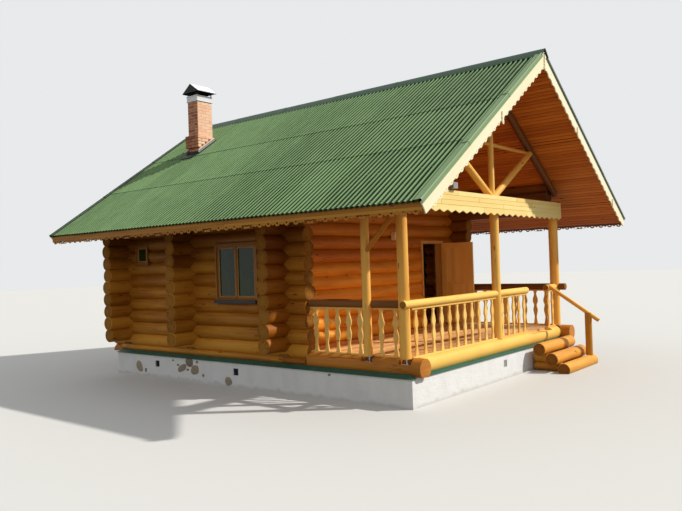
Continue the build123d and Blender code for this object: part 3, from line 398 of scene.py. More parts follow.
def stone(name):
    finish = Finish(name)
    grain, tone = finish.painted()
    veins = finish.clouds(grain, 14.0, 5.0, 0.65, 0.8)
    colour = finish.blend(veins * 0.7 + tone * 0.5, (190, 174, 148), (120, 104, 88))
    return finish.done(colour, 0.8, veins, 0.006, 0.8)


def galvanised(name, colour):
    finish = Finish(name, metallic=1.0)
    place = finish.place()
    spangle = finish.axis(finish.cells(place, 120.0, "Color"), "X")
    cloud = finish.clouds(place, 12.0, 4.0)
    colour = finish.blend(spangle * 0.35 + cloud * 0.4, colour, (120, 122, 124))
    return finish.done(colour, cloud * 0.22 + 0.36, cloud, 0.0008, 0.3)


def pane_glass(name):
    finish = Finish(name, transmission_weight=0.2, ior=1.45, specular_ior_level=0.3)
    dust = finish.clouds(finish.place(), 5.0, 4.0, 0.6)
    # The dark green colour is painted shade and painted reflection: the dark room behind and the greenery in
    # the glass.
    colour = finish.blend(dust, (22, 44, 16), (56, 78, 34))
    return finish.done(colour, 0.03, finish.clouds(finish.place(), 2.2, 1.0), 0.004, 0.15)


def lamp_glass(name):
    finish = Finish(name, subsurface_weight=0.2, coat_weight=0.4)
    cloud = finish.clouds(finish.place(), 6.0, 2.0)
    colour = finish.blend(cloud * 0.4, (255, 244, 204), (240, 222, 170))
    finish.set(base_color=colour, roughness=0.25)
    return finish.material


# eave darkens the upper logs: painted shade under the eaves.
honey_log = wood("peeled_log", (212, 148, 50), (154, 90, 24), (112, 60, 24),
                 streaks=0.6, tones=0.4, cracks=0.4, eave=0.75)
# A lighter, redder copy of the peeled logs for the front wall in the porch: painted bounce light. Its eave
# and stub darkening are painted shade.
front_log = wood("porch_wall_log", (252, 168, 50), (206, 116, 30), (150, 76, 26),
                 streaks=0.6, tones=0.4, cracks=0.4, eave=0.5, stub=0.75)
honey_end = log_end("log_end", (164, 112, 42), (106, 66, 22))
shade_log = wood("shaded_log", (140, 88, 42), (94, 52, 22), (78, 44, 22), cracks=0.4)
shade_end = log_end("shaded_log_end", (120, 80, 46), (84, 52, 28))
step_log = wood("step_log", (232, 168, 66), (190, 116, 36), (134, 74, 32), cracks=0.6)
step_end = log_end("step_end", (156, 98, 40), (96, 56, 22))
yellow_log = wood("porch_log", (255, 208, 108), (240, 166, 66), (182, 110, 50),
                  streaks=0.45, tones=0.25, cracks=0.4)
sawn_board = wood("sawn_porch_board", (248, 206, 118), (232, 176, 84), (182, 120, 62),
                  streaks=0.45, tones=0.4)
cream_board = wood("cream_board", (254, 234, 160), (246, 212, 128), (214, 168, 96),
                   streaks=0.35, tones=0.25, roughness=0.55)
verge_board = wood("verge_board", (253, 246, 216), (248, 232, 186), (222, 196, 146),
                   streaks=0.35, tones=0.2, roughness=0.55)
eave_board = wood("eave_board", (196, 136, 48), (156, 100, 30), (116, 70, 28))
soffit_board = wood("soffit_board", (226, 136, 54), (190, 100, 34), (146, 74, 30),
                    streaks=0.45, tones=0.35)
# Dark deck that shows between the soffit boards: painted shade in the gaps.
deck_gap_shade = wood("deck_gap_shade", (96, 48, 24), (70, 32, 16), (60, 30, 16), along=(1, 0.2, 1))
# Darkened to stand for the shade inside the gables: painted shade.
shaded_gable_board = wood("shaded_gable_board", (126, 60, 30), (90, 38, 18), (70, 32, 18), tones=0.35)
floor_board = wood("floor_board", (244, 190, 124), (212, 154, 92), (160, 104, 62),
                   tones=0.45, roughness=0.6)
joinery = wood("window_joinery", (166, 112, 46), (118, 74, 26), (84, 50, 20),
               tones=0.25, roughness=0.42)
door_wood = wood("door_wood", (255, 208, 116), (238, 172, 82), (180, 112, 54),
                 roughness=0.42, along=(0.35, 1, 0.12))
door_board = wood("door_board", (255, 206, 116), (240, 174, 84), (180, 112, 54),
                  tones=0.4, roughness=0.42)
frame_wood = wood("door_frame_wood", (226, 170, 96), (198, 136, 68), (150, 98, 54), along=(1, 1, 0.12))
rim_wood_y = wood("rim_log_side", (206, 134, 50), (156, 92, 28), (112, 62, 26),
                  cracks=0.5, along=(1, 0.08, 1))
rim_wood_x = wood("rim_log_front", (244, 200, 100), (226, 170, 76), (172, 112, 52),
                  streaks=0.45, tones=0.25, cracks=0.5, along=(0.08, 1, 1))
# The second colour is the painted shade of the troughs.
green_sheet = sheet_paint("green_roof_sheet", (128, 160, 110), (10, 30, 12))
verge_green = enamel("verge_green", (118, 146, 98), (136, 152, 110))
# A darker copy of the verge green: painted shade.
verge_painted_shade = enamel("verge_green_painted_shade", (46, 64, 40), (70, 84, 58))
ridge_green = enamel("ridge_green", (54, 84, 62), (72, 94, 74))
teal_strip = enamel("teal_strip", (44, 92, 76), (80, 112, 96))
black_metal = enamel("dark_sheet_metal", (24, 24, 28), (52, 50, 50), roughness=0.5)
pale_metal = enamel("pale_sheet_metal", (232, 234, 236), (196, 196, 194))
grey_metal = enamel("grey_sheet_metal", (160, 160, 160), (112, 108, 104), roughness=0.45, dirt=0.4)
sill_metal = enamel("sill_sheet_metal", (62, 58, 54), (90, 82, 74), roughness=0.5, dirt=0.4)
zinc = galvanised("zinc", (190, 192, 194))
white_render = whitewash("white_render")
fired_brick = brick("fired_brick")
light_mortar = mortar("light_mortar", (238, 206, 178))
found_stone = stone("field_stone")
window_pane = pane_glass("window_pane")
milk_glass = lamp_glass("milk_glass")


# Shapes


class Stock:
    """Pieces gathered in one mesh, each with its own tone and the grain it was cut with."""

    def __init__(self, seed):
        self.mesh = bmesh.new()
        self.grain = self.mesh.verts.layers.float_vector.new("grain")
        self.tone = self.mesh.verts.layers.float.new("tone")
        self.chance = random.Random(seed)

    def between(self, low, high):
        return self.chance.uniform(low, high)

    def point(self, place, grain, tone):
        vertex = self.mesh.verts.new(place)
        vertex[self.grain] = grain
        vertex[self.tone] = tone
        return vertex

    def face(self, corners, finish):
        made = self.mesh.faces.new(corners)
        made.material_index = finish
        made.smooth = True
        return made

    def loft(self, rows, tone, finish=0, end_finish=None):
        """A solid through rows of places with their grain, closed at both ends. Gives its faces."""
        rows = [[self.point(place, grain, tone) for place, grain in row] for row in rows]
        faces = []
        for low, high in zip(rows, rows[1:]):
            for corners in zip(low, low[1:] + low[:1], high[1:] + high[:1], high):
                faces.append(self.face(corners, finish))
        cap = finish if end_finish is None else end_finish
        faces.append(self.face(rows[0][::-1], cap))
        faces.append(self.face(rows[-1], cap))
        return faces

    def trim(self, piece, place, direction):
        """Saw off what lies beyond a plane, and close the cut. Gives the faces left."""
        geometry = dict.fromkeys(piece)
        for part in piece:
            geometry.update(dict.fromkeys((*part.edges, *part.verts)))
        cut = bmesh.ops.bisect_plane(self.mesh, geom=list(geometry), dist=1e-6, plane_co=place,
                                     plane_no=direction, clear_outer=True)
        left = [part for part in cut["geom"] if isinstance(part, bmesh.types.BMFace)]
        edges = [part for part in cut["geom_cut"] if isinstance(part, bmesh.types.BMEdge)]
        if edges:
            for part in bmesh.ops.holes_fill(self.mesh, edges=edges, sides=0)["faces"]:
                part.material_index = 0
                part.smooth = True
                left.append(part)
        return [part for part in left if part.is_valid]

    def above(self, piece, height):
        return self.trim(piece, at(0, 0, height), -Z)

    def below(self, piece, height):
        return self.trim(piece, at(0, 0, height), Z)

    def under_roof(self, piece, side):
        """Saw off what would stand in the roof's deck."""
        return self.trim(piece, at(0, 0, roof_z(0, slab_under)), roof_out(side))

    def make(self, name, finishes, replaces=(), body="house", sharp=35):
        bmesh.ops.recalc_face_normals(self.mesh, faces=self.mesh.faces)
        mesh = bpy.data.meshes.new(name)
        self.mesh.to_mesh(mesh)
        self.mesh.free()
        mesh.set_sharp_from_angle(angle=math.radians(sharp))
        for finish in finishes:
            mesh.materials.append(finish)
        piece = bpy.data.objects.new(name, mesh)
        bpy.context.scene.collection.objects.link(piece)
        if replaces:
            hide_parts(*replaces)
        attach(piece, body)


def log(stock, start, end, radius, number, sides=24, rough=1.0, chamfer=0.008, finish=0, span=0.0):
    """A peeled log between two points, not quite round and not quite straight.

    Logs of the same number are stretches of one log; span is how far along it this one lies.
    """
    axis = (end - start).normalized()
    length = (end - start).length
    across = (X if abs(axis.z) > 0.9 else Z).cross(axis).normalized()
    up = axis.cross(across)
    tone = 0.5 + 0.5 * noise.noise(at(number * 5.37, 1.7, 0.3))
    tone = min(1.0, max(0.0, 0.5 + (tone - 0.5) * 2.2))
    edge = min(chamfer, length / 4)
    steps = max(2, round(length / 0.22))
    distances = [0.0, edge] + [length * i / steps for i in range(1, steps)] + [length - edge, length]
    rows = []
    for index, distance in enumerate(distances):
        along = span + distance
        shrink = chamfer if index in (0, len(distances) - 1) else 0.0
        sway = at(along * 0.45, number * 3.1, 0.0)
        middle = start + axis * distance
        middle = middle + across * (0.004 * rough * noise.noise(sway))
        middle = middle + up * (0.003 * rough * noise.noise(sway + 9 * Z))
        row = []
        for corner in range(sides):
            turn = 2 * math.pi * corner / sides
            u, v = math.cos(turn), math.sin(turn)
            lump = noise.noise(at(along * 1.1, u * 1.2 + number * 2.3, v * 1.2))
            here = radius * (1 + 0.018 * rough * lump) - shrink
            row.append((middle + (across * u + up * v) * here, (along + number * 7.7, here * u, here * v)))
        rows.append(row)
    return stock.loft(rows, tone, finish, 1)


def board(stock, start, end, width, thickness, facing, tone=None, chamfer=0.003, finish=0):
    """A board between the middles of its two ends; facing is the way its broad side looks."""
    axis = (end - start).normalized()
    length = (end - start).length
    normal = (facing - axis * facing.dot(axis)).normalized()
    across = normal.cross(axis)
    if tone is None:
        tone = stock.between(0.0, 1.0)
    offset = stock.between(0, 50)
    half = width / 2
    deep = thickness / 2
    outline = (
        (-half + chamfer, -deep), (half - chamfer, -deep), (half, -deep + chamfer),
        (half, deep - chamfer), (half - chamfer, deep), (-half + chamfer, deep),
        (-half, deep - chamfer), (-half, -deep + chamfer),
    )
    rows = []
    for distance, shrink in ((0.0, chamfer), (chamfer, 0.0), (length - chamfer, 0.0), (length, chamfer)):
        row = []
        for wide, high in outline:
            w = wide * (1 - shrink / half)
            h = high * (1 - shrink / deep)
            place = start + axis * distance + across * w + normal * h
            row.append((place, (distance + offset, w + offset, h)))
        rows.append(row)
    return stock.loft(rows, tone, finish)


def lengths(joints):
    """Where the boards of one row begin and stop, a millimetre short of their joints."""
    return [(begin + 0.001, stop - 0.001) for begin, stop in zip(joints, joints[1:])]


def sheet(stock, start, end, width, facing, finish=0, thickness=0.004):
    """A board of sheet metal."""
    board(stock, start, end, width, thickness, facing, chamfer=0.001, finish=finish)


def sawn(stock, outlines, thickness, place, rounding=0.002, finish=0):
    """A sawn board: its outline and the outlines of its holes, drawn flat, then put in place."""
    curve = bpy.data.curves.new("pattern", "CURVE")
    curve.dimensions = "2D"
    curve.fill_mode = "BOTH"
    curve.extrude = thickness / 2 - rounding
    curve.bevel_depth = rounding
    curve.bevel_resolution = 0
    curve.offset = -rounding
    for outline in outlines:
        spline = curve.splines.new("POLY")
        spline.points.add(len(outline) - 1)
        for point, (u, v) in zip(spline.points, outline):
            point.co = (u, v, 0, 1)
        spline.use_cyclic_u = True
    holder = bpy.data.objects.new("pattern", curve)
    mesh = bpy.data.meshes.new_from_object(holder)
    tone = stock.between(0.0, 1.0)
    offset = stock.between(0, 50)
    points = []
    for vertex in mesh.vertices:
        co = vertex.co
        points.append(stock.point(place @ co, (co.x + offset, co.y + offset, co.z), tone))
    for polygon in mesh.polygons:
        corners = [points[i] for i in polygon.vertices]
        if len(set(corners)) > 2:
            try:
                stock.face(corners, finish)
            except ValueError:
                pass
    bpy.data.objects.remove(holder)
    bpy.data.curves.remove(curve)
    bpy.data.meshes.remove(mesh)


def arc(centre, radius, start, end, steps):
    """Points on an arc, from one angle to another, in degrees."""
    points = []
    for i in range(steps + 1):
        turn = math.radians(start + (end - start) * i / steps)
        points.append((centre[0] + radius * math.cos(turn), centre[1] + radius * math.sin(turn)))
    return points


def drawing(place, u, v, out):
    """A drawing plane at a place: the ways its u and v run, and the way it looks."""
    return Matrix.Translation(place) @ Matrix((u, v, out)).transposed().to_4x4()


# Log walls

main_window = (-0.402, 0.778, 1.760, 2.890)
small_window = (3.198, 3.598, 2.575, 2.975)
door_opening = (1.512, 2.522, 0.790, 2.920)
inner_doorway = (-0.400, 0.400, 0.790, 2.700)


def course(stock, number, start, end, height, openings, roofed):
    """One log of a wall, sawn off where an opening or the roof's deck passes through it.

    start and end are points at height 0; the openings' first two measures are along the wall's axis.
    """
    axis = (end - start).normalized()
    low = height - log_radius
    high = height + log_radius
    position = 0.0
    stretches = []
    for span_from, span_to, sill, head in openings:
        if low < head and high > sill:
            span_from -= start.dot(axis)
            span_to -= start.dot(axis)
            stretches.append((position, span_from, None))
            if low < sill:
                stretches.append((span_from, span_to, (stock.below, sill)))
            if high > head:
                stretches.append((span_from, span_to, (stock.above, head)))
            position = span_to
    stretches.append((position, (end - start).length, None))
    for span_from, span_to, cut in stretches:
        a = start + axis * span_from + Z * height
        b = start + axis * span_to + Z * height
        chamfer = 0.008 if span_to - span_from > 0.3 else 0.002
        piece = log(stock, a, b, log_radius, number, chamfer=chamfer, span=span_from)
        if cut:
            piece = cut[0](piece, cut[1])
        if low < foundation_top:
            piece = stock.above(piece, foundation_top)
        for side in (-1, 1):
            if roofed and (side * a.x > 0.5 or side * b.x > 0.5):
                piece = stock.under_roof(piece, side)


for side, label in left_right:
    stock = Stock(10 + side)
    for number in range(14):
        start = at(side * wall_x, long_front + stock.between(-0.015, 0.03), 0)
        end = at(side * wall_x, long_back + stock.between(-0.03, 0.015), 0)
        height = long_first + number * log_pitch
        course(stock, number + 20 * (side + 2), start, end, height, (main_window, small_window), number > 10)
    stock.make(label + "_wall_logs", (honey_log, honey_end), (label + "_wall",))

for y, label, parts, openings, finish in (
    (front_wall_y, "front", ("_left", "_right", "_door_logs"), (door_opening,), front_log),
    (middle_wall_y, "middle", ("_left", "_right", "_door_logs"), (inner_doorway,), honey_log),
    (back_wall_y, "back", ("",), (), honey_log),
):
    stock = Stock(20 + round(y * 10))
    for number in range(12):
        start = at(-stub_x + stock.between(-0.01, 0.03), y, 0)
        end = at(stub_x - stock.between(-0.01, 0.03), y, 0)
        if number == 0:
            start.x, end.x = -flush_x, flush_x
        height = cross_first + number * log_pitch
        course(stock, number + 100 + round(y * 31), start, end, height, openings, number > 10)
    stock.make(label + "_wall_logs", (finish, honey_end), [label + "_wall" + part for part in parts])

# Boarded gables over the front and back walls

gable_low = 3.860
gable_peak = roof_z(0, slab_under)
gable_half = wall_x - log_radius
gable_course = 0.145
core_depth = slab_under + 0.004
core_eave = roof_z(gable_half, core_depth)
gable_core = [(-gable_half, gable_low), (gable_half, gable_low), (gable_half, core_eave),
              (0, roof_z(0, core_depth)), (-gable_half, core_eave)]
for y, label in ((front_wall_y, "front_gable"), (back_wall_y, "back_gable")):
    stock = Stock(30)
    level = gable_low
    while level < gable_peak - 0.05:
        reach = min(gable_half, (gable_peak - level) / rise) * X
        for face in (-1, 1):
            middle = at(0, y + face * 0.035, level + gable_course / 2)
            piece = board(stock, middle - reach, middle + reach, gable_course - 0.002, 0.030, face * Y,
                          chamfer=0.005)
            for side in (-1, 1):
                piece = stock.under_roof(piece, side)
        level += gable_course
    sawn(stock, [gable_core], 0.044, drawing(y * Y, X, Z, -Y), rounding=0.001)
    stock.make(label + "_boards", (shaded_gable_board,), (label,))

# Boards under the roof, with wider seams where two lengths of the deck meet

deck_edge = (roof_half - 0.05) / slope_cos
soffit_pitch = 0.096
for side, label in left_right:
    stock = Stock(40 + side)
    down = (slab_under - 0.010) * rise
    number = 0
    while down < deck_edge - 0.02:
        wide = min(soffit_pitch, deck_edge - down)
        gap = 0.007
        for seam in (1.90, 3.85):
            if down < seam / slope_cos < down + soffit_pitch:
                gap = 0.030
        joints = (-verge_y + 0.001, 0.35 + 2.1 * math.sin(number * 2.4), verge_y - 0.001)
        for begin, stop in lengths(joints):
            a = on_slope(side, down + wide / 2, begin, slab_under)
            b = on_slope(side, down + wide / 2, stop, slab_under)
            board(stock, a, b, wide - gap, 0.018, roof_out(side), chamfer=0.006)
        down += soffit_pitch
        number += 1
    stock.make(label + "_soffit_boards", (soffit_board,))

# Roof sheets: waves, in rows that lap over each other, raised on their battens

wave_height = 0.048
wave_count = 98
wave_pitch = 2 * verge_y / wave_count
wave_points = 12
sheet_raise = 0.060
sheet_width = 10 * wave_pitch
sheet_rows = ((3.45, slope_length), (1.88, 3.61), (0.0, 2.03))
shaft_rows = (1.18, 1.95)


def wave_depth(y):
    """How far the sheet lies below its crests at y."""
    share = (y + verge_y) / wave_pitch
    return wave_height / 2 * (1 + math.cos(2 * math.pi * (share - 0.1)))


def roof_sheet(stock, side, y_from, y_to, down_from, down_to, lift, tone):
    """One corrugated sheet; its lower end lies on the row below and stands up a little."""
    points = max(4, round((y_to - y_from) / wave_pitch * wave_points))
    middle = (down_from + down_to) / 2
    rows = []
    for down, sunk in ((down_from, 0.008), (middle, 0.003), (down_to - 0.09, 0.002), (down_to, -0.003)):
        top = []
        under = []
        for i in range(points + 1):
            y = y_from + (y_to - y_from) * i / points
            depth = wave_depth(y) + sunk - lift - sheet_raise
            top.append(on_slope(side, down, y, depth))
            under.append(on_slope(side, down, y, depth + 0.003))
        rows.append([(p, (down, p.y, 1 - wave_depth(p.y) / wave_height)) for p in top + under[::-1]])
    stock.loft(rows, tone)


def nail_cap(stock, side, down, y):
    """The domed cap of a roofing nail, on the crest of a wave."""
    centre = on_slope(side, down, y, wave_depth(y) - sheet_raise - 0.001)
    out = roof_out(side)
    rows = []
    for radius, height in ((0.014, 0.0), (0.012, 0.005), (0.006, 0.009)):
        row = []
        for corner in range(7):
            turn = 2 * math.pi * corner / 7
            place = centre + radius * (math.cos(turn) * Y + math.sin(turn) * Y.cross(out)) + height * out
            row.append((place, (down, y, 0.75)))
        rows.append(row)
    stock.loft(rows, 0.5)


for side, label in left_right:
    stock = Stock(50 + side)
    for row, (down_from, down_to) in enumerate(sheet_rows):
        edge = -verge_y - (sheet_width / 2 if row % 2 else 0)
        while edge < verge_y - 0.01:
            y_from = max(-verge_y, edge)
            y_to = min(verge_y, edge + sheet_width + 0.03)
            tone = stock.between(0.2, 0.8)
            uneven = stock.between(-0.008, 0.0)
            lift = stock.between(0.0, 0.0015)
            parts = [(y_from, y_to, down_from, down_to + uneven)]
            if side < 0 and y_to > shaft_front and y_from < shaft_back and row == 2:
                inner = max(y_from, shaft_front), min(y_to, shaft_back)
                parts = [
                    (y_from, min(y_to, shaft_front), down_from, down_to),
                    (max(y_from, shaft_back), y_to, down_from, down_to),
                    (*inner, down_from, shaft_rows[0]),
                    (*inner, shaft_rows[1], down_to),
                ]
            for begin, stop, top, low in parts:
                if stop - begin > 0.02:
                    roof_sheet(stock, side, begin, stop, top, low, lift, tone)
            edge += sheet_width
        for line in (down_to - 0.075, (down_from + down_to) / 2):
            for number in range(1, wave_count // 2):
                y = -verge_y + (2 * number + 0.6) * wave_pitch
                if side > 0 or row < 2 or not shaft_front - 0.15 < y < shaft_back + 0.15:
                    nail_cap(stock, side, line, y)
    stock.make(label + "_roof_sheets", (green_sheet,), ("roof_sheet_" + label,), sharp=50)

# Ridge cap: steep wings that stand on the sheets' crests, in lapped lengths

cap_profile = ((-0.158, -0.048), (-0.152, -0.040), (-0.030, 0.092), (-0.010, 0.108))
cap_profile += tuple((-x, z) for x, z in cap_profile[::-1])
cap_start = -verge_y - 0.048
cap_pieces = 6
cap_piece = -2 * cap_start / cap_pieces
stock = Stock(54)
for number in range(cap_pieces):
    begin = cap_start + number * cap_piece
    stop = begin + cap_piece + (0.10 if number < cap_pieces - 1 else 0.0)
    lift = 0.003 if number % 2 == 0 else 0.0
    rows = []
    for y, grow in ((begin, 0.004), (begin + 0.02, 0.0), (stop - 0.02, 0.0), (stop, 0.0)):
        outer = [at(x * (1 + grow), y, ridge_height + z + lift + grow) for x, z in cap_profile]
        inner = [p - at(math.copysign(0.002, p.x), 0, 0.004) for p in outer[::-1]]
        rows.append([(p, (y, p.x, p.z)) for p in outer + inner])
    stock.loft(rows, 0.5)
stock.make("ridge_cap_sheets", (ridge_green,), ("ridge_cap",))

# Verge trims: a wing on the sheets, a rolled bead, and a drop over the bargeboard

trim_out = verge_y + 0.033
trim_profile = (
    (-0.140, -0.002), (-0.136, -0.006), (-0.036, -0.006), (-0.031, -0.014), (-0.018, -0.018),
    (-0.005, -0.014), (0.000, -0.002), (0.001, 0.058), (0.006, 0.064),
)
trim_lengths = ((3.66, slope_length), (1.86, 3.76), (0.10, 1.95))
stock = Stock(55)
for side in (-1, 1):
    for face in (-1, 1):
        for number, (down_from, down_to) in enumerate(trim_lengths):
            rows = []
            for down, grow in ((down_from, 0.0), (down_to - 0.03, 0.002), (down_to, 0.005)):
                raised = sheet_raise + 0.001 * number + grow
                outer = []
                inner = []
                for out, depth in trim_profile:
                    y = face * (trim_out + out + (grow if out >= 0 else 0.0))
                    outer.append(on_slope(side, down, y, depth - raised))
                    inner.append(on_slope(side, down, y - face * 0.002, depth - raised + 0.002))
                rows.append([(p, (down, p.y, p.z)) for p in outer + inner[::-1]])
            # Only the front trim on the left gets the light green; the others get the painted shade copy.
            stock.loft(rows, 0.5, finish=0 if side < 0 and face < 0 else 1)
stock.make("verge_trim_lengths", (verge_green, verge_painted_shade), ("verge_trims",))

# Carved boards under the eaves: two plain boards, and the lace board that hangs from them

eave_x = roof_half - 0.05
eave_top = roof_z(eave_x + 0.025, slab_top)
lace_z = eave_top - 0.067
lace_teeth = 12
lace_pitch = verge_y / 24
for side, label in left_right:
    stock = Stock(60 + side)
    for begin, stop in lengths((-verge_y, -0.9, 3.1, verge_y)):
        a = at(side * (eave_x + 0.0125), begin, eave_top - 0.035)
        b = at(a.x, stop, a.z)
        board(stock, a, b, 0.050, 0.034, side * X)
        a.z = b.z = eave_top + 0.031
        board(stock, a, b, 0.080, 0.024, side * X)
    for length in range(4):
        outline = []
        holes = []
        for number in range(lace_teeth):
            centre = (number + 0.5) * lace_pitch
            small = centre + lace_pitch / 2
            outline += arc((centre, 0), 0.056, 192, 348, 14)
            holes.append(arc((centre, -0.002), 0.024, 360, 22.5, 15))
            if number < lace_teeth - 1:
                outline += arc((small, -0.006), 0.030, 200, 340, 8)
                holes.append(arc((small, 0.006), 0.008, 360, 45, 7))
        end = lace_teeth * lace_pitch - 0.001
        outline += [(end, -0.008), (end, 0.020), (0.001, 0.020), (0.001, -0.008)]
        place = at(side * (eave_x + 0.0135), -verge_y + length * lace_teeth * lace_pitch, lace_z)
        sawn(stock, [outline] + holes, 0.022, drawing(place, Y, Z, side * X))
    stock.make(label + "_eave_lace", (eave_board,), ("eave_boards",) if side < 0 else ())

# Bargeboards on the verges, and the drops that hang on them

scallop = 0.2
scallops = 27
barge_depth = 0.135
rising = sheet_raise + 0.010
barge = [(-rising * rise, -rising), (barge_depth * rise, barge_depth)]
barge_holes = []
for number in range(1, scallops):
    centre = number * scallop
    barge += arc((centre, 0.096), 0.085, 148, 32, 12)
    barge_holes.append(arc((centre, 0.146), 0.011, 360, 24, 12))
    if number < scallops - 1:
        barge += arc((centre + scallop / 2, 0.126), 0.030, 145, 35, 6)
barge += [(slope_length, barge_depth + 0.002), (slope_length, -rising)]
drop_side = [(0.032, -0.030), (0.018, 0.000), (0.034, 0.030), (0.022, 0.060), (0.022, 0.130)]
drop = [(-u, v) for u, v in drop_side[::-1]] + arc((0, -0.062), 0.032, 180, 360, 8) + drop_side
for face, label in front_back:
    stock = Stock(70 + face)
    for side in (-1, 1):
        place = at(0, face * (verge_y + 0.011), ridge_height) - slab_top * roof_out(side)
        plane = drawing(place, at(side * slope_cos, 0, -slope_sin), -roof_out(side), Y)
        sawn(stock, [barge] + barge_holes, 0.022, plane)
    for x in (-1.910, 0.0, 1.625, 3.713):
        place = at(x, face * (verge_y + 0.033), roof_z(x, slab_top + barge_depth) - 0.010)
        sawn(stock, [drop, arc((0, -0.060), 0.011, 360, 36, 10)], 0.020, drawing(place, X, Z, -Y))
    stock.make(label + "_bargeboards", (verge_board,), ("bargeboards",) if face < 0 else ())

# Boards on the face of the tie log

stock = Stock(80)
clad_y = -4.092
clad_end = 3.190
clad_low = tie_height - 0.160
clad_row = 0.355 / 4
clad_joint = 2.45
for row, first in ((1, 0.9), (2, 2.3), (3, 1.5)):
    level = clad_low + (row + 0.5) * clad_row
    joints = [-clad_end]
    place = -clad_end + first
    while place < clad_end - 0.4:
        joints.append(place)
        place += clad_joint
    joints.append(clad_end)
    for begin, stop in lengths(joints):
        board(stock, at(begin, clad_y, level), at(stop, clad_y, level), clad_row - 0.002, 0.020, -Y,
              chamfer=0.005)
tooth = 2 * clad_end / 23
for begin, stop in ((0, 9), (9, 16), (16, 23)):
    end = (stop - begin) * tooth - 0.001
    outline = [(0.001, clad_row - 0.002)]
    for number in range(stop - begin):
        outline += [(number * tooth + 0.001, 0.0), ((number + 0.5) * tooth, -0.050)]
    outline += [(end, 0.0), (end, clad_row - 0.002)]
    place = at(-clad_end + begin * tooth, clad_y, clad_low)
    sawn(stock, [outline], 0.020, drawing(place, X, Z, -Y), rounding=0.003)
stock.make("tie_log_boards", (cream_board,), ("tie_boards",))

# Porch: tie log, plates, truss, posts and rails


def round_piece(seed, name, node, logs, cuts=(), finishes=(yellow_log, honey_end), **looks):
    """Logs that stand for one node: start, end, radius and number of each, and the level cuts."""
    stock = Stock(seed)
    for start, end, radius, number in logs:
        piece = log(stock, start, end, radius, number, **looks)
        for cut, height in cuts:
            piece = cut(stock, piece, height)
    stock.make(name, finishes, (node,))


tie_end = at(gable_half, rim_y, tie_height)
round_piece(90, "tie_log_round", "tie_log", [(at(-gable_half, rim_y, tie_height), tie_end, log_radius, 301)],
            cuts=((Stock.above, tie_under), (Stock.below, tie_top)))

stock = Stock(91)
for side in (-1, 1):
    for number in range(3):
        height = plate_first + number * log_pitch
        front = clad_y + 0.012 if number == 0 else rim_y + 0.085
        end = at(side * wall_x, long_front + 0.02, height)
        piece = log(stock, at(side * wall_x, front, height), end, log_radius, 310 + number + side)
        if number == 0:
            piece = stock.above(piece, plate_under)
        stock.under_roof(piece, side)
stock.make("plate_logs", (shade_log, shade_end), ("porch_plates",))

rafter_radius = 0.075
rafter_depth = slab_under + rafter_radius - 0.008
rafter_foot = 3.350 / slope_cos
stock = Stock(92)
for side in (-1, 1):
    a = on_slope(side, 0.0, rim_y, rafter_depth)
    b = on_slope(side, rafter_foot, rim_y, rafter_depth)
    piece = stock.under_roof(log(stock, a, b, rafter_radius, 320 + side, sides=20), side)
    stock.trim(piece, at(0, 0, 0), -side * X)
stock.make("gable_rafters", (shade_log, honey_end), ("truss_rafters",))

under_rafter = rafter_depth + rafter_radius
king_top = roof_z(0, under_rafter) + 0.03
strut_x = 1.900
strut_top = roof_z(strut_x, under_rafter) + 0.02
collar_z = 4.750
collar_reach = (roof_z(0, under_rafter) - collar_z) / rise + 0.03
round_piece(93, "king_post_round", "king_post",
            [(at(0, rim_y, tie_top), at(0, rim_y, king_top), 0.060, 330)], sides=20)
struts = [(at(side * 0.060, rim_y, tie_top + 0.040), at(side * strut_x, rim_y, strut_top), 0.070, 340 + side)
          for side in (-1, 1)]
round_piece(94, "strut_rounds", "truss_struts", struts, cuts=((Stock.above, tie_top),), sides=20)
collar = (at(-collar_reach, rim_y, collar_z), at(collar_reach, rim_y, collar_z), 0.035, 350)
round_piece(95, "collar_round", "truss_collar", [collar], sides=16)

post_foot = 0.795
side_post_y = -3.062
posts = []
for x, y, radius, low, high in (
    (-3.230, -3.867, 0.097, post_foot, plate_under),
    (3.105, -3.917, 0.1075, post_foot, plate_under),
    (-3.200, side_post_y, 0.078, post_foot, plate_under),
    (0.050, rim_y, 0.090, floor_top, tie_under),
):
    posts.append((at(x, y, low), at(x, y, high + 0.004), radius, 360 + len(posts)))
round_piece(96, "post_logs", "porch_posts", posts, rough=0.8)

side_rail = 0.078
rails = (
    (at(-3.360, rim_y, rail_height), at(1.470, rim_y, rail_height), rail_radius, 0),
    (at(2.530, rim_y, rail_height), at(3.105, rim_y, rail_height), rail_radius, 0),
    (at(-wall_x, rim_y, rail_height), at(-wall_x, long_front, rail_height), side_rail, 2),
    (at(wall_x, -4.172, rail_height), at(wall_x, long_front, rail_height), side_rail, 2),
)
stock = Stock(97)
for number, (a, b, radius, finish) in enumerate(rails):
    log(stock, a, b, radius, 380 + number, sides=20, finish=finish)
stock.make("rail_rounds", (yellow_log, honey_end, shade_log), ("handrails",))

brace_foot = at(-3.215, side_post_y, plate_under - 0.823)
brace_rise = at(0, -1, 1)
brace = (brace_foot + 0.04 * brace_rise, brace_foot + 0.79 * brace_rise, 0.045, 395)
round_piece(98, "knee_brace_round", "knee_brace", [brace], finishes=(step_log, honey_end), sides=16)

# Balustrades: sawn balusters between a board on the floor and one under the rail

waists = ((0.0, 50), (0.07, 40), (0.2, 25), (0.43, 55), (0.57, 33), (0.69, 64), (0.93, 25), (1.0, 50))
baluster_pitch = 0.273
baluster_steps = 28
sole = 0.030
rail_under = rail_height - rail_radius
baluster_low = floor_top + sole
baluster_tall = rail_under - sole - baluster_low


def baluster_half(share):
    """Half a baluster's width at a share of its height, smooth between the waists."""
    for (low, first), (high, second) in zip(waists, waists[1:]):
        if share <= high:
            part = (share - low) / (high - low)
            return (first + (second - first) * part * part * (3 - 2 * part)) / 1000


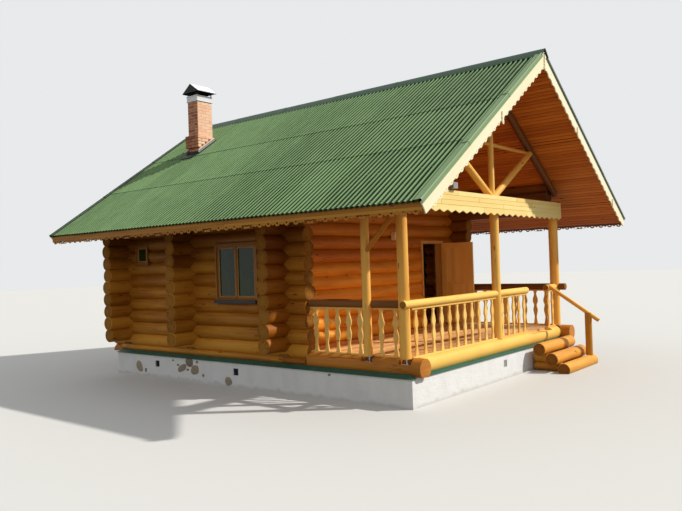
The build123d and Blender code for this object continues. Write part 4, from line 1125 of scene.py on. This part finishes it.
def baluster_bay(stock, start, along, length, out):
    """One bay of sawn balusters, with the board they stand on and the board over them."""
    for level in (floor_top + sole / 2, rail_under - sole / 2):
        a = start + Z * level
        board(stock, a, a + along * length, sole, 0.060, out)
    right = []
    for i in range(baluster_steps + 1):
        share = i / baluster_steps
        right.append((baluster_half(share), share * baluster_tall))
    left = [(-half, level) for half, level in right]
    count = max(2, round(length / baluster_pitch))
    for number in range(count):
        place = start + along * ((number + 0.5) * length / count) + Z * baluster_low
        sawn(stock, [right + left[::-1]], 0.032, drawing(place, along, Z, out), rounding=0.006)


stock = Stock(100)
for x_from, x_to in ((-3.122, -0.040), (0.140, 1.450), (2.530, 2.997)):
    baluster_bay(stock, at(x_from, rim_y, 0), X, x_to - x_from, -Y)
stock.make("front_balusters", (sawn_board,), ("front_balustrade",))
stock = Stock(101)
for side, y_from, y_to in ((-1, -3.760, -3.152), (-1, -2.972, long_front), (1, -3.810, long_front)):
    baluster_bay(stock, at(side * wall_x, y_from, 0), Y, y_to - y_from, side * X)
stock.make("side_balusters", (sawn_board,), ("side_balustrades",))

# Porch floor and house floor

stock = Stock(110)
floor_width = 0.135
porch_back = front_wall_y - 0.12
y = rim_y + 0.041
number = 0
while y < porch_back - 0.02:
    wide = min(floor_width, porch_back - y)
    half = 3.060 if y + wide < long_front else 2.950
    for begin, stop in lengths((-half, 0.9 * math.sin(number * 2.1), half)):
        a = at(begin, y + wide / 2, board_middle)
        board(stock, a, at(stop, a.y, a.z), wide - 0.004, 0.040, Z)
    y += floor_width
    number += 1
stock.make("porch_floor_boards", (floor_board,), ("porch_floor",))

stock = Stock(111)
room_width = 0.140
wall_gap = 0.156
low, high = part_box("house_floor")
for front, back in ((front_wall_y, middle_wall_y), (middle_wall_y, back_wall_y)):
    y_from = front + wall_gap
    y_to = back - wall_gap
    x = low.x
    while x < high.x - 0.01:
        wide = min(room_width, high.x - x)
        stretches = [(y_from, y_to)]
        if x < shaft_right and x + wide > shaft_left and y_to > shaft_front:
            stretches = [(y_from, shaft_front - 0.005), (shaft_back + 0.005, y_to)]
        for begin, stop in stretches:
            if stop - begin > 0.03:
                a = at(x + wide / 2, begin, board_middle)
                board(stock, a, at(a.x, stop, a.z), wide - 0.003, 0.058, Z)
        x += room_width
stock.make("house_floor_boards", (floor_board,), ("house_floor",))

# Steps, bearers, newel and stair rail

step_radius = 0.135
stock = Stock(120)
for number, (out, height) in enumerate(((0.250, 0.470), (0.515, 0.272), (0.770, 0.075))):
    left = at(1.065 + stock.between(0, 0.03), foundation_front - out, height)
    right = at(2.815 - stock.between(0, 0.04), left.y, height)
    piece = log(stock, left, right, step_radius, 400 + number)
    if height < step_radius:
        stock.above(piece, 0)
stock.make("step_logs", (step_log, step_end), ("log_steps",))

stock = Stock(121)
for x in (1.365, 2.515):
    for number, (height, out) in enumerate(((0.090, 0.640), (0.262, 0.380))):
        a = at(x, foundation_front - out, height)
        b = at(x, foundation_front - 0.030, height)
        stock.above(log(stock, a, b, 0.090, 410 + number + round(x), sides=20), 0)
stock.make("bearer_logs", (step_log, step_end), ("stair_bearers",))


def on_stair_rail(out):
    """The point of the stair's rail at a distance before the foundation."""
    return at(2.610, foundation_front - out, rail_height + 0.065 - 0.68 * (0.165 + out))


newel_top = on_stair_rail(0.770) + 0.01 * Z
newel = (at(newel_top.x, newel_top.y, 0.20), newel_top, 0.075, 420)
round_piece(122, "newel_round", "newel_post", [newel], finishes=(honey_log, honey_end), sides=20)
rail_start = on_stair_rail(-0.145)
rail_start.y = rim_y - 0.02
stair_rail = (rail_start, on_stair_rail(1.000), 0.045, 425)
round_piece(123, "stair_rail_round", "stair_handrail", [stair_rail], sides=16)

# Chimney: bricks over the mortar core, a stepped band at the roof, and the metal cap

course_height = 0.076
joint = 0.009
brick_length = 0.250
half_first = (0.120, brick_length)
wide_first = (brick_length, 0.120)
core_low = 0.5
core_wall = 0.085
bricks_low = 0.80
band_top = 5.790
band_proud = 0.060
band_deep = 0.064
# Painted light and shade: the bricks on the side towards -X take dark tones, those on the other sides light
# ones.
lit_tones = (0.0, 0.3)
shaded_side_tones = (0.7, 1.0)
front_left = at(shaft_left, shaft_front, 0)
front_right = at(shaft_right, shaft_front, 0)
back_left = at(shaft_left, shaft_back, 0)
back_right = at(shaft_right, shaft_back, 0)
shaft_sides = (
    (front_left, front_right, -Y, half_first, lit_tones),
    (back_left, back_right, Y, half_first, lit_tones),
    (front_left, back_left, -X, wide_first, shaded_side_tones),
    (front_right, back_right, X, wide_first, lit_tones),
)


def brick_face(stock, level, start, end, out, number, first, tones, deep=0.016):
    """One course of bricks on one side of the shaft; start and end are at height 0."""
    high = course_height - joint
    along = (end - start).normalized()
    length = (end - start).length
    edges = [0.0]
    place = first[number % 2]
    while place < length - 0.05:
        edges.append(place)
        place += brick_length
    edges.append(length)
    middle = start + out * (0.004 - deep / 2) + Z * (level + high / 2)
    for a, b in zip(edges, edges[1:]):
        board(stock, middle + along * (a + joint / 2), middle + along * (b - joint / 2), high, deep, out,
              tone=stock.between(*tones), chamfer=0.0025)


stock = Stock(130)
level = bricks_low
number = 0
while level < shaft_top - 0.05:
    for start, end, out, first, tones in shaft_sides:
        brick_face(stock, level, start, end, out, number, first, tones)
    level += course_height
    number += 1
band_left = shaft_left - band_proud
band_front = shaft_front - band_proud
band_back = shaft_back + band_proud
for number in range(4):
    level = band_top - (number + 1) * course_height
    reach = -(roof_z(0, -sheet_raise) - level) / rise
    right = min(max(reach - 0.135, band_left + 0.075), shaft_right)
    for x, y, start_y, out, first, tones in (
        (right, band_front, band_front, -Y, wide_first, lit_tones),
        (right, band_back, band_back, Y, wide_first, lit_tones),
        (band_left, band_back, band_front, -X, half_first, shaded_side_tones),
    ):
        brick_face(stock, level, at(band_left, start_y, 0), at(x, y, 0), out, number, first, tones, band_deep)
a = at(shaft_left - band_proud / 2 - 0.004, band_front - 0.006, band_top)
board(stock, a, at(a.x, band_back + 0.006, a.z), 0.008, band_proud + 0.010, -X, chamfer=0.001, finish=1)
for start, end, out, first, tones in shaft_sides:
    middle = (start + end) / 2 - out * core_wall / 2
    board(stock, middle + Z * core_low, middle + Z * shaft_top, (end - start).length - 0.002, core_wall, out,
          chamfer=0.002, finish=1)
stock.make("chimney_bricks", (fired_brick, light_mortar), ("chimney",))

# Sheet metal where the chimney passes the roof


def on_sheets(x, y, over):
    """The point over the sheets' crests at x."""
    return at(x, y, roof_z(x, -sheet_raise - over))


stock = Stock(132)
roof_up = roof_out(-1)
apron_proud = 0.075
for y, out in ((shaft_front, -1), (shaft_back, 1)):
    face = y + out * 0.066
    sheet(stock, on_sheets(band_left, face, 0.026), on_sheets(shaft_right, face, 0.026), 0.060, out * Y)
    for number in range(11):
        rib = on_sheets(band_left + 0.02 + number * 0.050, face + out * 0.004, 0)
        board(stock, rib, rib + Z * 0.062, 0.012, 0.006, out * Y, chamfer=0.002)
    fillet = face - out * 0.010
    board(stock, on_sheets(band_left, fillet, 0.066), on_sheets(shaft_right, fillet, 0.066), 0.024, 0.030,
          out * Y, chamfer=0.006, finish=2)
    apron = face + out * 0.022
    sheet(stock, on_sheets(band_left, apron, 0.004), on_sheets(shaft_right + 0.05, apron, 0.004), 0.044,
          roof_up, 1)
for number in range(3):
    down = 1.905 + number * 0.085
    depth = -sheet_raise - 0.004 - 0.002 * number
    a = on_slope(-1, down, shaft_front - apron_proud, depth)
    b = on_slope(-1, down, shaft_back + apron_proud, depth)
    sheet(stock, a, b, 0.092, roof_up, 1)
a = at(shaft_left - 0.006, shaft_front, roof_z(shaft_left, -sheet_raise) + 0.015)
sheet(stock, a, at(a.x, shaft_back, a.z), 0.040, -X, 1)
a = on_sheets(shaft_right + 0.050, shaft_front, 0.006)
sheet(stock, a, at(a.x, shaft_back, a.z), 0.100, roof_up)
stock.make("chimney_flashing", (grey_metal, black_metal, light_mortar), ("chimney_apron",))

# Chimney cap: a collar of sheet metal, four legs and a gabled hood

cap_x = (shaft_left + shaft_right) / 2
cap_y = (shaft_front + shaft_back) / 2
collar_out = 0.012
lip_out = collar_out + 0.008
hood_x = 0.300
hood_y = 0.310
hood_rise = 0.220
leg_x = 0.226
leg_y = 0.177
stock = Stock(131)
for grow, low_z, high_z in ((collar_out, 0.0, 0.150), (lip_out, 0.0, 0.022), (lip_out, 0.128, 0.150)):
    left, right = shaft_left - grow, shaft_right + grow
    front, back = shaft_front - grow, shaft_back + grow
    z = shaft_top + (low_z + high_z) / 2
    for a, b, facing in (
        (at(left, front, z), at(right, front, z), -Y),
        (at(left, back, z), at(right, back, z), Y),
        (at(left, front, z), at(left, back, z), -X),
        (at(right, front, z), at(right, back, z), X),
    ):
        sheet(stock, a, b, high_z - low_z, facing, thickness=0.006)
top = shaft_top + 0.147
for y in (shaft_front + 0.058, shaft_back - 0.058):
    board(stock, at(shaft_left - collar_out, y, top), at(shaft_right + collar_out, y, top), 0.118, 0.006, Z)
for x in (shaft_left + 0.053, shaft_right - 0.053):
    board(stock, at(x, shaft_front, top), at(x, shaft_back, top), 0.106, 0.006, Z)
leg_top = hood_top - hood_rise * leg_y / hood_y
for dx in (-leg_x, leg_x):
    for dy in (-leg_y, leg_y):
        foot = at(cap_x + dx, cap_y + dy, top - 0.1)
        board(stock, foot, at(foot.x, foot.y, leg_top), 0.022, 0.022, -Y, chamfer=0.002, finish=1)
hood_low = hood_top - hood_rise
for dy in (-1, 1):
    slope = at(0, dy * hood_y, -hood_rise)
    out = at(0, dy * hood_rise, hood_y)
    centre = at(cap_x, cap_y, hood_top - 0.004) + slope / 2
    under = centre - out.normalized() * 0.005
    lip = at(cap_x, cap_y + dy * 0.306, hood_low - 0.006)
    # The sheet under each slope and the lip along its eave are black: painted shade under the hood.
    for middle, half, width, thickness, facing, finish in (
        (centre, hood_x, slope.length, 0.006, out, 0),
        (under, hood_x - 0.004, slope.length - 0.01, 0.003, out, 1),
        (lip, hood_x, 0.020, 0.006, dy * Y, 1),
    ):
        sheet(stock, middle - X * half, middle + X * half, width, facing, finish, thickness)
# The hood's gable ends are black: painted shade.
for dx in (-1, 1):
    gable = [(-0.300, 0.0), (0.300, 0.0), (0.0, 0.210)]
    place = at(cap_x + dx * 0.294, cap_y, hood_low - 0.004)
    sawn(stock, [gable], 0.006, drawing(place, Y, Z, X), rounding=0.001, finish=1)
stock.make("chimney_hood", (pale_metal, black_metal), ("chimney_cap",))

# Foot of the log walls: the swell of the half logs, and the strip carried past the cross logs

swell_x = 3.252
swell_z = 0.618
strip_x = 3.3625
strip_z = 0.5255
cross_walls = (front_wall_y, middle_wall_y, back_wall_y)
swell_ends = (long_front + 0.02, *cross_walls, long_back - 0.38)
stock = Stock(135)
for side in (-1, 1):
    for y_from, y_to in zip(swell_ends, swell_ends[1:]):
        a = at(side * swell_x, y_from + 0.002, swell_z)
        b = at(side * swell_x, y_to - 0.002, swell_z)
        log(stock, a, b, 0.062, 500 + round(y_from * 7) + side, sides=16, chamfer=0.004)
stock.make("half_log_swells", (honey_log, honey_end))

stock = Stock(136)
for side in (-1, 1):
    for y in cross_walls:
        a = at(side * strip_x, y - 0.172, strip_z)
        sheet(stock, a, at(a.x, y + 0.172, a.z), 0.141, at(side * 0.065, 0, 0.125))
stock.make("strip_lengths", (teal_strip,))

# Stones that show through the render of the left side: y, z, half width, half height, lean, tone

stones = (
    (3.446, 0.205, 0.135, 0.120, 35, 0.15), (1.640, 0.415, 0.1425, 0.090, 0, 1.0),
    (1.880, 0.275, 0.1575, 0.078, -30, 0.45), (1.440, 0.262, 0.1275, 0.110, -20, 0.4),
    (2.190, 0.425, 0.039, 0.020, 0, 0.9), (1.372, 0.432, 0.036, 0.026, 0, 0.9),
    (1.178, 0.165, 0.030, 0.034, 0, 0.9), (1.690, 0.250, 0.045, 0.026, 0, 0.8),
    (2.010, 0.330, 0.045, 0.024, 0, 0.8), (-2.317, 0.440, 0.030, 0.020, 0, 0.9),
    (0.390, 0.100, 0.1125, 0.090, 25, 0.3), (3.203, 0.136, 0.036, 0.050, 0, 1.0),
)
stone_corners = 18
stock = Stock(137)
for y, z, wide, high, lean, tone in stones:
    turn = math.radians(lean)
    rows = []
    for out, share in ((-0.020, 1.0), (0.003, 1.0), (0.008, 0.86), (0.011, 0.45)):
        row = []
        for corner in range(stone_corners):
            angle = 2 * math.pi * corner / stone_corners
            lump = noise.noise(at(math.cos(angle) + y * 5, math.sin(angle) + z * 7, 0.5))
            u = wide * (1 + 0.28 * lump) * share * math.cos(angle)
            v = high * (1 + 0.28 * lump) * share * math.sin(angle)
            p = at(-half_width - out, y + u * math.cos(turn) - v * math.sin(turn),
                   z + u * math.sin(turn) + v * math.cos(turn))
            row.append((p, (y + p.y, p.z, out)))
        rows.append(row)
    stock.loft(rows, tone)
stock.make("foundation_stones", (found_stone,))

# Grilles in the vents of the foundation

vent_z = 0.310
vent_inset = 0.012
vent_half = 0.070
vents = []
for y in (2.758, 0.158):
    for side in (-1, 1):
        vents.append((at(side * (half_width - vent_inset), y, vent_z), Y, side * X, 0))
vents.append((at(0, foundation_front + vent_inset, vent_z), X, -Y, 1))
vents.append((at(0, house_high.y - vent_inset, vent_z), X, Y, 1))
stock = Stock(138)
for centre, along, out, finish in vents:
    # The plate behind each grille closes the vent; on the sides it is black, painted shade for the dark hole.
    a = centre - out * 0.030 - along * vent_half
    sheet(stock, a, a + along * 2 * vent_half, 2 * vent_half, out, finish, 0.003)
    for number in range(-2, 3):
        a = centre - along * vent_half + Z * (number * 0.028)
        board(stock, a, a + along * 2 * vent_half, 0.022, 0.002, out + Z, chamfer=0.0005, finish=finish)
stock.make("vent_grilles", (black_metal, grey_metal))

# Windows

casing_x = 3.2783
casing_width = 0.042
casing_lap = 0.008
lining = 0.026
lining_deep = 0.150


def window_boards(stock, side, x, rim, inset, lie, stand, width, deep, **looks):
    """Four boards inset from a rim. lie and stand set back the ends of those that lie and stand.

    Those outside the rim are made from the top down.
    """
    y_from, y_to, low, high = rim
    levels = (low + inset, high - inset)
    for level in levels if inset > 0 else levels[::-1]:
        board(stock, at(x, y_from + lie, level), at(x, y_to - lie, level), width, deep, side * X, **looks)
    for y in (y_from + inset, y_to - inset):
        board(stock, at(x, y, low + stand), at(x, y, high - stand), width, deep, side * X, **looks)


stock = Stock(140)
panes = Stock(141)
for side in (-1, 1):
    for rim in (main_window, small_window):
        window_boards(stock, side, side * (casing_x + 0.011), rim, casing_lap - casing_width / 2,
                      -casing_width, 0.0, casing_width, 0.022, chamfer=0.005)
        window_boards(stock, side, side * (casing_x - lining_deep / 2), rim, lining / 2,
                      0.0, lining, lining, lining_deep)
        y_from, y_to, low, high = rim
        low += lining + 0.001
        high -= lining + 0.001
        x = side * (casing_x - 0.030)
        small = y_to - y_from < 0.8
        sash = 0.024 if small else 0.042
        halves = [(y_from + lining + 0.001, y_to - lining - 0.001)]
        if not small:
            middle = (y_from + y_to) / 2
            halves = [(halves[0][0], middle - 0.001), (middle + 0.001, halves[0][1])]
            cover = x + side * 0.030
            board(stock, at(cover, middle, low + 0.02), at(cover, middle, high - 0.02), 0.040, 0.010,
                  side * X, chamfer=0.004)
        for begin, stop in halves:
            half = (begin, stop, low, high)
            window_boards(stock, side, x, half, sash / 2, 0.0, sash - 0.004, sash, 0.050, chamfer=0.005)
            window_boards(stock, side, x + side * 0.016, half, sash + 0.003, sash, sash, 0.010, 0.014,
                          tone=0.0, finish=1)
            a = at(x, begin + sash - 0.004, (low + high) / 2)
            board(panes, a, at(x, stop - sash + 0.004, a.z), high - low - 2 * sash + 0.008, 0.004, side * X,
                  chamfer=0.0005)
panes.make("window_panes", (window_pane,), ("window_glass",))
stock.make("window_casings", (joinery, frame_wood), ("window_frames",))

# Door: the CAD leaf and frame keep their shape; boards are laid in its panels

leaf_low, leaf_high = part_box("door_leaf")
panel_front = leaf_low.y + 0.140
panel_back = leaf_high.y - 0.140
stock = Stock(150)
for low, high, count in ((0.130, 0.960, 7), (1.020, 1.870, 5)):
    wide = (panel_back - panel_front) / count
    for x, out in ((leaf_low.x + 0.008, -1), (leaf_high.x - 0.008, 1)):
        for number in range(count):
            a = at(x, panel_front + (number + 0.5) * wide, leaf_low.z + low + 0.002)
            b = at(x, a.y, leaf_low.z + high - 0.002)
            board(stock, a, b, wide - 0.003, 0.006, out * X, chamfer=0.0025)
stock.make("door_panel_boards", (door_board,), body="door")

# Finishes of the nodes that keep their shape

kept_finishes = {
    "foundation": white_render,
    "foundation_flashing": teal_strip,
    "side_rim_logs": rim_wood_y,
    "front_rim_log": rim_wood_x,
    # The deck shows only in the soffit's gaps; its dark colour is painted shade.
    "roof_slab_left": deck_gap_shade,
    "roof_slab_right": deck_gap_shade,
    "screw_jacks": zinc,
    "window_sills": sill_metal,
    "door_frame": frame_wood,
    "door_leaf": door_wood,
    "hinge_pins": zinc,
    "leaf_hinges": zinc,
    "wall_lamp": milk_glass,
    "floodlight": grey_metal,
}
for name, finish in kept_finishes.items():
    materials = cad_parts[name].data.materials
    materials.clear()
    materials.append(finish)

# Floor, background and light

floor = bpy.data.meshes.new("studio_floor")
floor.from_pydata([(-90, -90, 0), (90, -90, 0), (90, 90, 0), (-90, 90, 0)], [], [(0, 1, 2, 3)])
studio_floor = bpy.data.objects.new("studio_floor", floor)
bpy.context.scene.collection.objects.link(studio_floor)
pale_floor = Finish("pale_floor", base_color=tint(208, 208, 204), roughness=0.9)
ground = pale_floor.add("ShaderNodeBsdfDiffuse", values={"Color": tint(112, 108, 92)})
pale_floor.show("Material Output", ground, Wire(pale_floor, pale_floor.shader.outputs[0]))
floor.materials.append(pale_floor.material)

world = bpy.data.worlds.new("studio")
bpy.context.scene.world = world
surroundings = Web(world)
light = surroundings.tree.nodes["Background"]
light.inputs["Color"].default_value = (0.95, 0.97, 1.0, 1)
light.inputs["Strength"].default_value = 0.60
backdrop = surroundings.add("ShaderNodeBackground", values={"Color": tint(232, 234, 235)})
surroundings.show("World Output", Wire(surroundings, light.outputs[0]), backdrop)

sun_light = bpy.data.lights.new("sun", "SUN")
sun_light.energy = 3.6
sun_light.angle = math.radians(1.5)
sun_light.color = (1.0, 0.96, 0.90)
sun = bpy.data.objects.new("sun", sun_light)
sun.rotation_mode = "QUATERNION"
sun.rotation_quaternion = at(0.472, -0.604, 0.643).to_track_quat("Z", "Y")
bpy.context.scene.collection.objects.link(sun)

# Camera at the photograph's viewing angle

camera_data = bpy.data.cameras.new("camera")
camera_data.lens = 36.66
camera_data.sensor_width = 36
camera_data.clip_end = 500
camera = bpy.data.objects.new("camera", camera_data)
bpy.context.scene.collection.objects.link(camera)
yaw = math.radians(39.10)
pitch = math.radians(0.596)
roll = math.radians(-1.913)
forward = at(math.cos(pitch) * math.cos(yaw), math.cos(pitch) * math.sin(yaw), math.sin(pitch))
level_right = at(math.sin(yaw), -math.cos(yaw), 0)
level_up = level_right.cross(forward)
camera_right = math.cos(roll) * level_right + math.sin(roll) * level_up
camera_up = math.cos(roll) * level_up - math.sin(roll) * level_right
camera.matrix_world = drawing(at(-12.922, -10.418, 2.447), camera_right, camera_up, -forward)
bpy.context.scene.camera = camera
bpy.context.scene.view_settings.view_transform = "Standard"
